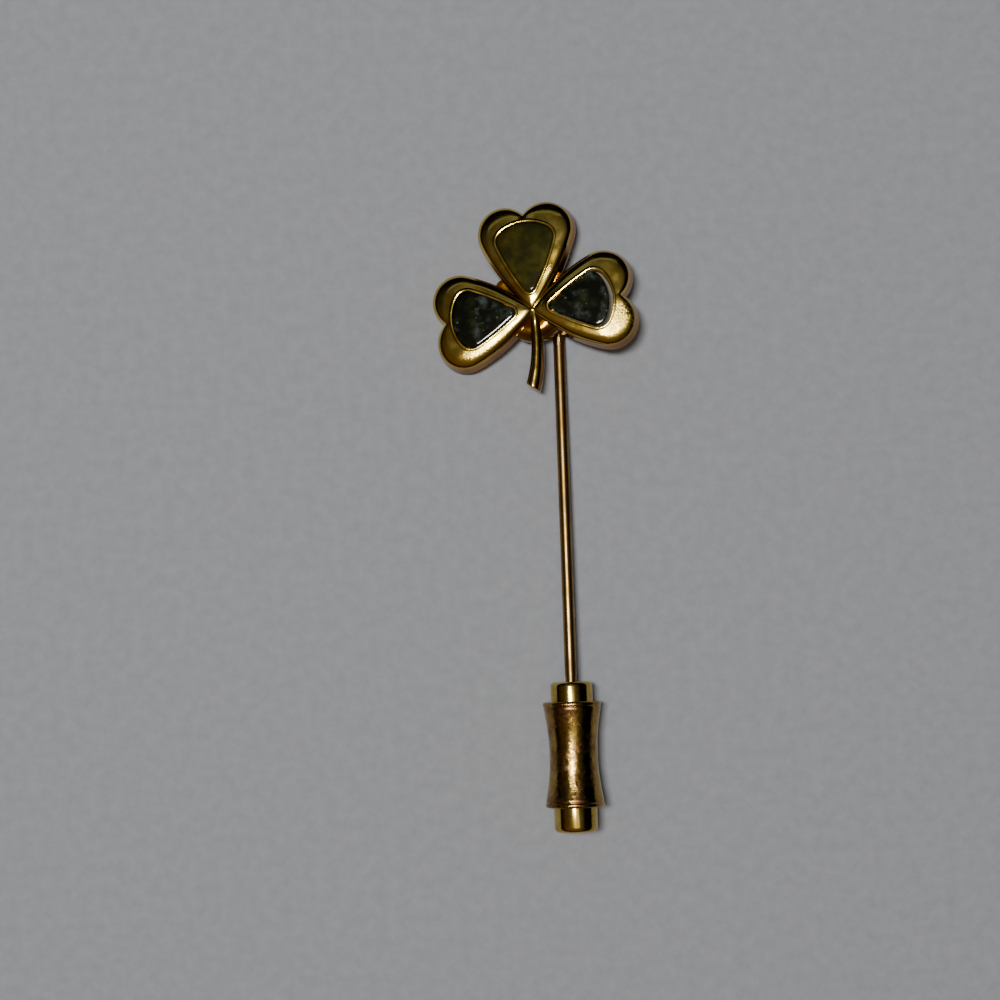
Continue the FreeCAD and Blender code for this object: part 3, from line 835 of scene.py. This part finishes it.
flares = (SLEEVE_TOP + RIM_L, FLARE_TOP_R), (SLEEVE_END - RIM_L, FLARE_END_R)
waist = through(flares[0], (WAIST_AT, WAIST_R), flares[1], WAIST_STEPS)
waist = [(along, radius, 0) for along, radius in waist[WAIST_SKIP:-WAIST_SKIP]]
rims = [
    (SLEEVE_TOP, TOP_BORE_R, 0.04),
    (SLEEVE_TOP, FLARE_TOP_R, 0.28),
    (SLEEVE_TOP + LIP_END, FLARE_TOP_R - LIP_BULGE, 0.1),
    (SLEEVE_TOP + GROOVE_AT, FLARE_TOP_R - GROOVE_DEEP, 0.06),
]
ends = [
    (SLEEVE_END - GROOVE_AT, FLARE_END_R - GROOVE_DEEP, 0.06),
    (SLEEVE_END - LIP_END, FLARE_END_R - LIP_BULGE, 0.1),
    (SLEEVE_END, FLARE_END_R, 0.28),
    (SLEEVE_END, END_BORE_R, 0.04),
    (GUIDE_AT, END_BORE_R, 0),
    (GUIDE_AT, CHAMBER_R, 0),
    (CHAMBER_AT, CHAMBER_R, 0),
    (CHAMBER_AT, FLANGE_R, 0),
    (FLANGE_AT, FLANGE_R, 0),
    (FLANGE_AT, TOP_BORE_R, 0),
]
sleeve_corners = rims + waist + ends
sleeve = turned("waisted_sleeve", rounded(sleeve_corners), CLUTCH, endless=True)
hand_polish(sleeve, DENT_DEEP, DENT_SIZE)
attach(sleeve, "sleeve")
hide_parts("clutch_sleeve")
print("faces in the sleeve", len(sleeve.data.polygons))

# %% [markdown]
# ## Colours and nodes
# A colour is written as the sRGB hex value that a paint program shows, and turned to the
# linear value that light is computed with. One small function adds a node with its
# settings, links and colour stops. A link may come from a node, which stands for the
# node's first output, so each material below reads as a list of its layers.

# %% Turn hex to linear, add nodes, dress pieces
def hue(code):
    """An sRGB hex colour as linear RGBA."""
    parts = [int(code[i : i + 2], 16) / 255 for i in (1, 3, 5)]
    linear = [c / 12.92 if c <= 0.04045 else ((c + 0.055) / 1.055) ** 2.4 for c in parts]
    return (*linear, 1.0)


def add(tree, kind, settings=(), links=(), stops=()):
    """Adds a node; settings and links are (input or option, value or source) pairs."""
    node = tree.nodes.new("ShaderNode" + kind)
    for name, value in settings:
        if isinstance(name, int) or name in node.inputs:
            node.inputs[name].default_value = value
        else:
            setattr(node, name, value)
    for name, source in links:
        if isinstance(source, bpy.types.Node):
            source = source.outputs[0]
        tree.links.new(source, node.inputs[name])
    if stops:
        bar = node.color_ramp.elements
        for element, (spot, code) in zip(list(bar), (stops[0], stops[-1])):
            element.position = spot
            element.color = hue(code)
        for spot, code in stops[1:-1]:
            bar.new(spot).color = hue(code)
    return node


def finish(name, **shader):
    """A material with its shader's constants set, and the shader to link into."""
    made = bpy.data.materials.new(name)
    made.use_nodes = True
    surface = made.node_tree.nodes["Principled BSDF"]
    for socket, value in shader.items():
        surface.inputs[socket.replace("_", " ")].default_value = value
    return made, made.node_tree, surface


def join(tree, surface, **sources):
    """Links a layer's first output, or a socket, to each of the shader's inputs."""
    for socket, source in sources.items():
        if isinstance(source, bpy.types.Node):
            source = source.outputs[0]
        tree.links.new(source, surface.inputs[socket.replace("_", " ")])


def dress(piece, material):
    """Gives a piece or a CAD node one material."""
    piece.data.materials.clear()
    piece.data.materials.append(material)


print("middle grey in linear light", round(hue("#808080")[0], 3))

# %% [markdown]
# ## Gold plate on the casting
# The casting is brass, polished by hand and plated with a few tenths of a micrometre of
# gold. Plate this thin follows every mark of the polish, so the eye gets a mirror with a
# faint wander, hairline scratches and a frosted sparkle where the surface is pitted. The
# low webs get painted shade: a darker orange gold that stands in for their shade and
# gold-on-gold reflection.

# %% Make the casting's gold plate
casting_gold, tree, surface = finish("polished_gold_plate", Metallic=1.0)
place = add(tree, "TexCoord").outputs["Object"]
painted_shade_share = add(tree, "Attribute", [("attribute_name", "hollow")]).outputs["Fac"]
worn_share = add(tree, "Attribute", [("attribute_name", "worn")]).outputs["Fac"]
cloud = add(tree, "TexNoise", [("Scale", 1 / (3.2 * MM)), ("Detail", 3.0)], [("Vector", place)])
open_gold = add(
    tree, "ValToRGB", [], [("Fac", cloud)], [(0.3, "#CDAE4C"), (0.5, "#DABD5C"), (0.7, "#E4CA70")]
)
# painted shade: a darker orange gold, mixed in where the stored painted shade is high
painted_shade_gold = add(tree, "ValToRGB", [], [("Fac", cloud)], [(0.35, "#85500F"), (0.65, "#A36C1C")])
share = add(tree, "MapRange", [("To Max", 0.95)], [("Value", painted_shade_share)])
tone = add(tree, "Mix", [("data_type", "RGBA")], [("Factor", share), (6, open_gold), (7, painted_shade_gold)])
pits = add(
    tree,
    "TexNoise",
    [("Scale", 1 / (0.22 * MM)), ("Detail", 6.0), ("Roughness", 0.7)],
    [("Vector", place)],
)
pitted = add(tree, "MapRange", [("From Min", 0.45), ("From Max", 0.6)], [("Value", pits)])
frost = add(tree, "Math", [("operation", "MULTIPLY")], [(0, pitted), (1, worn_share)])
smears = add(tree, "TexNoise", [("Scale", 1 / (1.1 * MM)), ("Detail", 4.0)], [("Vector", place)])
limits = [("From Min", 0.35), ("From Max", 0.75), ("To Min", 0.09), ("To Max", 0.2)]
smeared = add(tree, "MapRange", limits, [("Value", smears)])
shine = add(tree, "Math", [("operation", "MULTIPLY_ADD"), (1, 0.2)], [(0, frost), (2, smeared)])
brushed = add(tree, "Mapping", [("Scale", (0.25, 3.2, 1))], [("Vector", place)])
hairlines = add(tree, "TexNoise", [("Scale", 1 / (0.4 * MM))], [("Vector", brushed)])
scratched = add(tree, "Bump", [("Distance", 0.0014 * MM)], [("Height", hairlines)])
sparkle = add(tree, "Math", [("operation", "MULTIPLY")], [(0, pits), (1, worn_share)])
dimpled = add(tree, "Bump", [("Distance", 0.05 * MM)], [("Height", sparkle), ("Normal", scratched)])
join(tree, surface, Base_Color=tone.outputs[2], Roughness=shine, Normal=dimpled)
dress(casting, casting_gold)
dress(pad, casting_gold)
# painted shade: the pad on the casting's back gets some of the darker orange gold everywhere
PAD_PAINTED_SHADE = 0.25
PAD_WORN = 0.1
for name, amount in (("hollow", PAD_PAINTED_SHADE), ("worn", PAD_WORN)):
    store(pad, name, [amount] * len(pad.data.vertices))
print("layers in the gold plate", len(tree.nodes))

# %% [markdown]
# ## Worn gilding on the wire
# The wire is drawn brass with a flash of gilding, and it has been handled most. Drawing
# leaves long faint lines along it. The gilding has dulled to brown gold, in patches a few
# millimetres long. The pattern is turned to lie along the tipped pin.

# %% Make the wire's worn gilding
PIN_PITCH = math.asin(-up_the_wire.z)
LEVEL = [("rotation_type", "AXIS_ANGLE"), ("Axis", (1, 0, 0)), ("Angle", PIN_PITCH)]

wire_gold, tree, surface = finish("drawn_gilt_wire", Metallic=1.0)
place = add(tree, "VectorRotate", LEVEL, [("Vector", add(tree, "TexCoord").outputs["Object"])])
patches = add(
    tree,
    "TexNoise",
    [("Scale", 1 / (3.5 * MM)), ("Detail", 4.0), ("Roughness", 0.6)],
    [("Vector", place)],
)
tone = add(
    tree, "ValToRGB", [], [("Fac", patches)], [(0.3, "#6A4E26"), (0.5, "#8A6C3C"), (0.72, "#B0905A")]
)
drawn = add(tree, "Mapping", [("Scale", (1, 0.03, 1))], [("Vector", place)])
lines = add(
    tree,
    "TexNoise",
    [("Scale", 1 / (0.12 * MM)), ("Detail", 3.0), ("Roughness", 0.6)],
    [("Vector", drawn)],
)
limits = [("From Min", 0.3), ("From Max", 0.7), ("To Min", 0.32), ("To Max", 0.2)]
rubbed = add(tree, "MapRange", limits, [("Value", patches)])
shine = add(tree, "Math", [("operation", "MULTIPLY_ADD"), (1, 0.1)], [(0, lines), (2, rubbed)])
ridged = add(tree, "Bump", [("Distance", 0.004 * MM)], [("Height", lines)])
join(tree, surface, Base_Color=tone, Roughness=shine, Normal=ridged)
dress(wire, wire_gold)
print("the pattern is pitched by", round(math.degrees(PIN_PITCH), 2), "degrees")

# %% [markdown]
# ## Turned gold on the nub and cap
# The nub and the end cap came off a lathe, so the finest rings run round them. They are
# touched less than the sleeve, and the plate is still bright, with a few brown specks
# where moisture has crept under it.

# %% Make the turned gold
turned_gold, tree, surface = finish("turned_gold_plate", Metallic=1.0)
place = add(tree, "VectorRotate", LEVEL, [("Vector", add(tree, "TexCoord").outputs["Object"])])
cloud = add(tree, "TexNoise", [("Scale", 1 / (1.8 * MM)), ("Detail", 4.0)], [("Vector", place)])
bright = add(
    tree, "ValToRGB", [], [("Fac", cloud)], [(0.3, "#A8883A"), (0.5, "#C8AA54"), (0.7, "#DCC274")]
)
brown = add(tree, "ValToRGB", [], [("Fac", cloud)], [(0.3, "#6A4420"), (0.7, "#8A6238")])
crept = add(
    tree,
    "TexNoise",
    [("Scale", 1 / (0.5 * MM)), ("Detail", 5.0), ("Roughness", 0.65)],
    [("Vector", place)],
)
limits = [("From Min", 0.6), ("From Max", 0.68), ("To Max", 0.7)]
specks = add(tree, "MapRange", limits, [("Value", crept)])
tone = add(tree, "Mix", [("data_type", "RGBA")], [("Factor", specks), (6, bright), (7, brown)])
limits = [("From Min", 0.3), ("From Max", 0.7), ("To Min", 0.18), ("To Max", 0.1)]
shine = add(tree, "MapRange", limits, [("Value", cloud)])
# Real tool rings are about 0.02 mm apart; these are 0.09 mm, the finest that shows.
lathe = add(tree, "Mapping", [("Scale", (0.02, 1, 0.02))], [("Vector", place)])
tool_rings = add(tree, "TexNoise", [("Scale", 1 / (0.09 * MM)), ("Detail", 1.0)], [("Vector", lathe)])
ringed = add(tree, "Bump", [("Distance", 0.0018 * MM)], [("Height", tool_rings)])
join(tree, surface, Base_Color=tone.outputs[2], Roughness=shine, Normal=ringed)
dress(core, turned_gold)
dress(cap, turned_gold)
print("layers in the turned gold", len(tree.nodes))

# %% [markdown]
# ## Worn gold on the sleeve
# Fingers have rubbed the sleeve through to the copper-brown metal under the gold, in
# patches from half a millimetre to three. The rubbed patches are browner and duller, and
# small pits catch the light. Two noises at different sizes draw the edges of the patches.

# %% Make the sleeve's worn gold
sleeve_gold, tree, surface = finish("rubbed_gold_plate", Metallic=1.0)
place = add(tree, "VectorRotate", LEVEL, [("Vector", add(tree, "TexCoord").outputs["Object"])])
cloud = add(
    tree,
    "TexNoise",
    [("Scale", 1 / (2.1 * MM)), ("Detail", 5.0), ("Roughness", 0.6)],
    [("Vector", place)],
)
fine = add(
    tree,
    "TexNoise",
    [("Scale", 1 / (0.42 * MM)), ("Detail", 5.0), ("Roughness", 0.65)],
    [("Vector", place)],
)
small = add(tree, "Math", [("operation", "MULTIPLY"), (1, 0.32)], [(0, fine)])
edges = add(tree, "Math", [("operation", "MULTIPLY_ADD"), (1, 0.68)], [(0, cloud), (2, small)])
limits = [("From Min", 0.5), ("From Max", 0.57), ("To Max", 0.85)]
rubbed = add(tree, "MapRange", limits, [("Value", edges)])
bright = add(
    tree, "ValToRGB", [], [("Fac", fine)], [(0.3, "#8C7034"), (0.6, "#B0924E"), (0.8, "#D2B874")]
)
copper = add(
    tree, "ValToRGB", [], [("Fac", fine)], [(0.3, "#5A3A20"), (0.5, "#80583A"), (0.7, "#B08660")]
)
tone = add(tree, "Mix", [("data_type", "RGBA")], [("Factor", rubbed), (6, bright), (7, copper)])
dull = add(tree, "MapRange", [("To Min", 0.1), ("To Max", 0.26)], [("Value", rubbed)])
shine = add(tree, "Math", [("operation", "MULTIPLY_ADD"), (1, 0.1)], [(0, fine), (2, dull)])
pitted = add(tree, "Bump", [("Distance", 0.02 * MM)], [("Height", fine)])
stepped = add(tree, "Bump", [("Distance", 0.005 * MM)], [("Height", rubbed), ("Normal", pitted)])
join(tree, surface, Base_Color=tone.outputs[2], Roughness=shine, Normal=stepped)
dress(sleeve, sleeve_gold)
print("layers in the sleeve's gold", len(tree.nodes))

# %% [markdown]
# ## Olive marble
# The stones are polished green marble, calcite coloured by serpentine. A polished stone
# reflects a little of the room like glass, and shows its colour from just under the skin.
# The top one is a clear olive with rusty clouds.

# %% Make the top stone's olive marble
MARBLE_IOR = 1.56
MARBLE_POLISH = 0.05

olive_marble, tree, surface = finish(
    "polished_olive_marble", Roughness=MARBLE_POLISH, IOR=MARBLE_IOR
)
place = add(tree, "TexCoord").outputs["Object"]
cloud = add(
    tree,
    "TexNoise",
    [("Scale", 1 / (2.8 * MM)), ("Detail", 6.0), ("Roughness", 0.55)],
    [("Vector", place)],
)
olive = add(
    tree,
    "ValToRGB",
    [],
    [("Fac", cloud)],
    [(0.3, "#16160A"), (0.47, "#2A2A0A"), (0.58, "#403C0E"), (0.72, "#56501E")],
)
rusty = add(tree, "ValToRGB", [], [("Fac", cloud)], [(0.4, "#33260A"), (0.6, "#54400F")])
rust = add(tree, "TexNoise", [("Scale", 1 / (1.7 * MM)), ("Detail", 4.0)], [("Vector", place)])
limits = [("From Min", 0.52), ("From Max", 0.7), ("To Max", 0.6)]
share = add(tree, "MapRange", limits, [("Value", rust)])
tone = add(tree, "Mix", [("data_type", "RGBA")], [("Factor", share), (6, olive), (7, rusty)])
waves = add(tree, "TexNoise", [("Scale", 1 / (0.9 * MM)), ("Detail", 3.0)], [("Vector", place)])
uneven = add(tree, "Bump", [("Distance", 0.003 * MM)], [("Height", waves)])
join(tree, surface, Base_Color=tone.outputs[2], Normal=uneven)
dress(stones["top"], olive_marble)
print("layers in the olive marble", len(tree.nodes))

# %% [markdown]
# ## Dark marble
# The other two stones are nearly black, with grey veins and mossy patches. Their fine pale
# specks are painted glints: the cells of a Voronoi pattern, kept only where a noise is
# high, so that they come in loose groups.

# %% Make the dark marble of the left and right stones
dark_marble, tree, surface = finish("polished_dark_marble", Roughness=MARBLE_POLISH, IOR=MARBLE_IOR)
place = add(tree, "TexCoord").outputs["Object"]
cloud = add(
    tree,
    "TexNoise",
    [("Scale", 1 / (1.7 * MM)), ("Detail", 7.0), ("Roughness", 0.62)],
    [("Vector", place)],
)
moss = add(
    tree,
    "ValToRGB",
    [],
    [("Fac", cloud)],
    [(0.32, "#020301"), (0.5, "#090C04"), (0.6, "#1C2210"), (0.78, "#3C4222")],
)
vein = add(
    tree,
    "TexNoise",
    [("Scale", 1 / (1.6 * MM)), ("Detail", 4.0), ("Roughness", 0.55)],
    [("Vector", place)],
)
grey = add(tree, "ValToRGB", [], [("Fac", vein)], [(0.5, "#1C2220"), (0.75, "#5C6664")])
limits = [("From Min", 0.53), ("From Max", 0.68), ("To Max", 0.7)]
share = add(tree, "MapRange", limits, [("Value", vein)])
veined = add(tree, "Mix", [("data_type", "RGBA")], [("Factor", share), (6, moss), (7, grey)])
# painted glints: sparse pale dots in loose groups stand in for sparks of light on the polish
cells = add(tree, "TexVoronoi", [("Scale", 1 / (0.6 * MM))], [("Vector", place)])
limits = [("From Min", 0.06), ("From Max", 0.2), ("To Min", 0.9), ("To Max", 0.0)]
painted_glint_dots = add(tree, "MapRange", limits, [("Value", cells)])
groups = add(tree, "MapRange", [("From Min", 0.48), ("From Max", 0.58)], [("Value", cloud)])
share = add(tree, "Math", [("operation", "MULTIPLY")], [(0, painted_glint_dots), (1, groups)])
pale = add(tree, "ValToRGB", [], [("Fac", vein)], [(0.4, "#5C6A4C"), (0.7, "#B4B8A4")])
tone = add(
    tree,
    "Mix",
    [("data_type", "RGBA")],
    [("Factor", share), (6, veined.outputs[2]), (7, pale)],
)
waves = add(tree, "TexNoise", [("Scale", 1 / (0.7 * MM)), ("Detail", 4.0)], [("Vector", place)])
uneven = add(tree, "Bump", [("Distance", 0.004 * MM)], [("Height", waves)])
join(tree, surface, Base_Color=tone.outputs[2], Normal=uneven)
dress(stones["left"], dark_marble)
dress(stones["right"], dark_marble)
print("layers in the dark marble", len(tree.nodes))

# %% [markdown]
# ## The hidden pieces
# Nothing shows the inside of the clutch or the glue under the stones, but the parts are
# there, so each has its own finish: grey epoxy cement, blued spring steel, ground hard
# steel and milky nylon. The solder at the foot of the wire is bright tin. Each finish is
# a cloudy colour, a roughness that follows the clouds, and a fine bump.

# %% Make the hidden finishes and the solder's
CEMENTS = ["stone_cement_top", "stone_cement_left", "stone_cement_right"]
HARD = ["cam_ring", "lock_ball_1", "lock_ball_2", "lock_ball_3"]
SPRUNG = ["return_spring", "spring_washer"]
# name: (metallic, (low, high roughness), clouds in mm, bump in mm, (dark, light), nodes)
HIDDEN = {
    "grey_epoxy_cement": (0.0, (0.5, 0.75), 0.6, 0.01, ("#6F6B5E", "#8C887A"), CEMENTS),
    "ground_hard_steel": (1.0, (0.17, 0.27), 0.1, 0.001, ("#9A9B9C", "#B9BABC"), HARD),
    "blued_spring_steel": (1.0, (0.22, 0.35), 0.3, 0.002, ("#4C5360", "#747C8A"), SPRUNG),
    "milky_nylon": (0.0, (0.32, 0.5), 0.4, 0.004, ("#D9D4C4", "#EEEADD"), ["tip_cushion"]),
    "bright_tin_solder": (1.0, (0.24, 0.38), 0.5, 0.012, ("#9C9C98", "#C4C4BE"), []),
}

for name, (metal, (low, high), size, depth, (dark, light), nodes) in HIDDEN.items():
    made, tree, surface = finish(name, Metallic=metal)
    place = add(tree, "TexCoord").outputs["Object"]
    cloud = add(tree, "TexNoise", [("Scale", 1 / (size * MM)), ("Detail", 4.0)], [("Vector", place)])
    tone = add(tree, "ValToRGB", [], [("Fac", cloud)], [(0.35, dark), (0.65, light)])
    limits = [("From Min", 0.3), ("From Max", 0.7), ("To Min", low), ("To Max", high)]
    shine = add(tree, "MapRange", limits, [("Value", cloud)])
    fine = add(tree, "Bump", [("Distance", depth * MM)], [("Height", cloud)])
    join(tree, surface, Base_Color=tone, Roughness=shine, Normal=fine)
    for node in nodes:
        dress(frame["nodes"][node], made)
dress(solder, made)
print("materials", len(bpy.data.materials))

# %% [markdown]
# ## The floor
# A pale, cool grey sheet lies under the pin. It is slightly mottled, as matt paper is,
# and it gives the polished metal its light lower edges.

# %% Lay the floor
FLOOR_HALF = 1.2
FLOOR_DROP = 0.02 * MM
floor_z = cad_box[0][2] - FLOOR_DROP
floor_mesh = bpy.data.meshes.new("floor")
corners = [(-1, -1), (1, -1), (1, 1), (-1, 1)]
floor_points = [(x * FLOOR_HALF, y * FLOOR_HALF, floor_z) for x, y in corners]
floor_mesh.from_pydata(floor_points, [], [(0, 1, 2, 3)])
floor = bpy.data.objects.new("floor", floor_mesh)
bpy.context.scene.collection.objects.link(floor)
sheet_paper, tree, surface = finish("matt_grey_paper", Roughness=0.85)
place = add(tree, "TexCoord").outputs["Object"]
mottle = add(
    tree,
    "TexNoise",
    [("Scale", 1 / (1.2 * MM)), ("Detail", 4.0), ("Roughness", 0.6)],
    [("Vector", place)],
)
tone = add(tree, "ValToRGB", [], [("Fac", mottle)], [(0.3, "#A2A7B3"), (0.7, "#AEB3BF")])
join(tree, surface, Base_Color=tone)
dress(floor, sheet_paper)
floor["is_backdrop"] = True
print("floor at z", round(floor_z, 5))

# %% [markdown]
# ## The light
# Polished gold is only as good as what it mirrors. A small lamp a little to the left of
# straight above gives the sparks and the short shadows. A soft glow overhead lights the
# sides that lean right and down, and a pale panel beyond the shamrock gives bands on the
# sides that lean up.

# %% Light it
LAMPS = {
    "key_lamp": ((-0.082, 0.03, 0.50), (0.06, 0.12), 1.7, "#FFFBF2"),
    "soft_glow": ((0.02, -0.06, 0.52), (0.24, 0.20), 0.13, "#FFF3DC"),
    "pale_panel": ((-0.12, 0.36, 0.46), (0.50, 0.06), 0.026, "#DCE8F2"),
}


def lamp(name, spot, sizes, power, colour):
    """An area lamp at a spot, turned to face the pin."""
    light = bpy.data.lights.new(name, "AREA")
    light.shape = "RECTANGLE"
    light.size, light.size_y = sizes
    light.energy = power
    light.color = hue(colour)[:3]
    holder = bpy.data.objects.new(name, light)
    holder.location = spot
    holder.rotation_euler = (-Vector(spot)).to_track_quat("-Z", "Y").to_euler()
    bpy.context.scene.collection.objects.link(holder)


for name, settings in LAMPS.items():
    lamp(name, *settings)
print("lamps", sorted(LAMPS))

# %% [markdown]
# ## The room
# The metal mirrors the whole room, so the room is as much a part of its finish as the
# plating is. A dim ceiling keeps the tops olive, brown walls on the near side warm the
# lower edges, and the dark far side gives the black rims. The walls darken towards the
# floor. All of it depends only on the direction in the room.

# %% Darken the room
FAR_SIDE = (0.5, 0.8, 0.0)

room = bpy.data.worlds.new("dim_room")
bpy.context.scene.world = room
room.use_nodes = True
tree = room.node_tree
way = add(tree, "TexCoord").outputs["Generated"]
height = add(tree, "SeparateXYZ", [], [("Vector", way)]).outputs["Z"]
ceiling = add(
    tree, "ValToRGB", [], [("Fac", height)], [(0.7, "#000000"), (0.86, "#4C4A42"), (1.0, "#6C6A60")]
)
across_room = add(
    tree, "VectorMath", [("operation", "DOT_PRODUCT"), (1, FAR_SIDE)], [(0, way)]
).outputs["Value"]
shifted = add(
    tree, "MapRange", [("From Min", -0.9), ("From Max", 0.9)], [("Value", across_room)]
)
walls = add(
    tree,
    "ValToRGB",
    [],
    [("Fac", shifted)],
    [(0.1, "#6A4E22"), (0.4, "#38342A"), (0.58, "#12110E"), (0.75, "#030303")],
)
shade = add(tree, "ValToRGB", [], [("Fac", height)], [(0.25, "#4A4A4A"), (0.6, "#FFFFFF")])
multiply = [("data_type", "RGBA"), ("blend_type", "MULTIPLY"), (0, 1.0)]
dim_walls = add(tree, "Mix", multiply, [(6, walls), (7, shade)])
plus = [("data_type", "RGBA"), ("blend_type", "ADD"), (0, 1.0)]
lit = add(tree, "Mix", plus, [(6, ceiling), (7, dim_walls.outputs[2])])
tree.links.new(lit.outputs[2], tree.nodes["Background"].inputs["Color"])
print("layers in the room", len(tree.nodes))

# %% [markdown]
# ## The camera
# The pin is seen from above, from about a hand's length away. The camera stands a little
# below and left of the pin's middle and is tipped back by two degrees, so that it looks
# square on at the clutch. It is also turned by less than two degrees, which leans the wire.

# %% Place the camera
CAMERA_SPOT = (-0.0044, -0.0063, 0.2)
CAMERA_TILT = math.radians(2.31)
CAMERA_TURN = math.radians(-1.84)
VIEW_ANGLE = math.radians(28.51)
NEAREST = 0.001
FARTHEST = 10

camera_data = bpy.data.cameras.new("camera")
camera_data.sensor_fit = "HORIZONTAL"
camera_data.angle = VIEW_ANGLE
camera_data.clip_start = NEAREST
camera_data.clip_end = FARTHEST
camera = bpy.data.objects.new("camera", camera_data)
camera.location = CAMERA_SPOT
camera.rotation_euler = (CAMERA_TILT, 0, CAMERA_TURN)
bpy.context.scene.collection.objects.link(camera)
bpy.context.scene.camera = camera
print("camera", CAMERA_SPOT)

# %% [markdown]
# ## Compare the size
# The CAD's box and the finished model's box are measured, and how far the finished
# model's upper corner lies beyond the CAD's is printed in millimetres.

# %% Measure both boxes and print the growth
shown_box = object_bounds()
boxes = {"cad": cad_box, "visual": shown_box}
plain = {name: [[float(v) for v in corner] for corner in box] for name, box in boxes.items()}
grown = [round((b - a) * 1000, 4) for a, b in zip(plain["cad"][1], plain["visual"][1])]
print("grown by", grown, "mm")
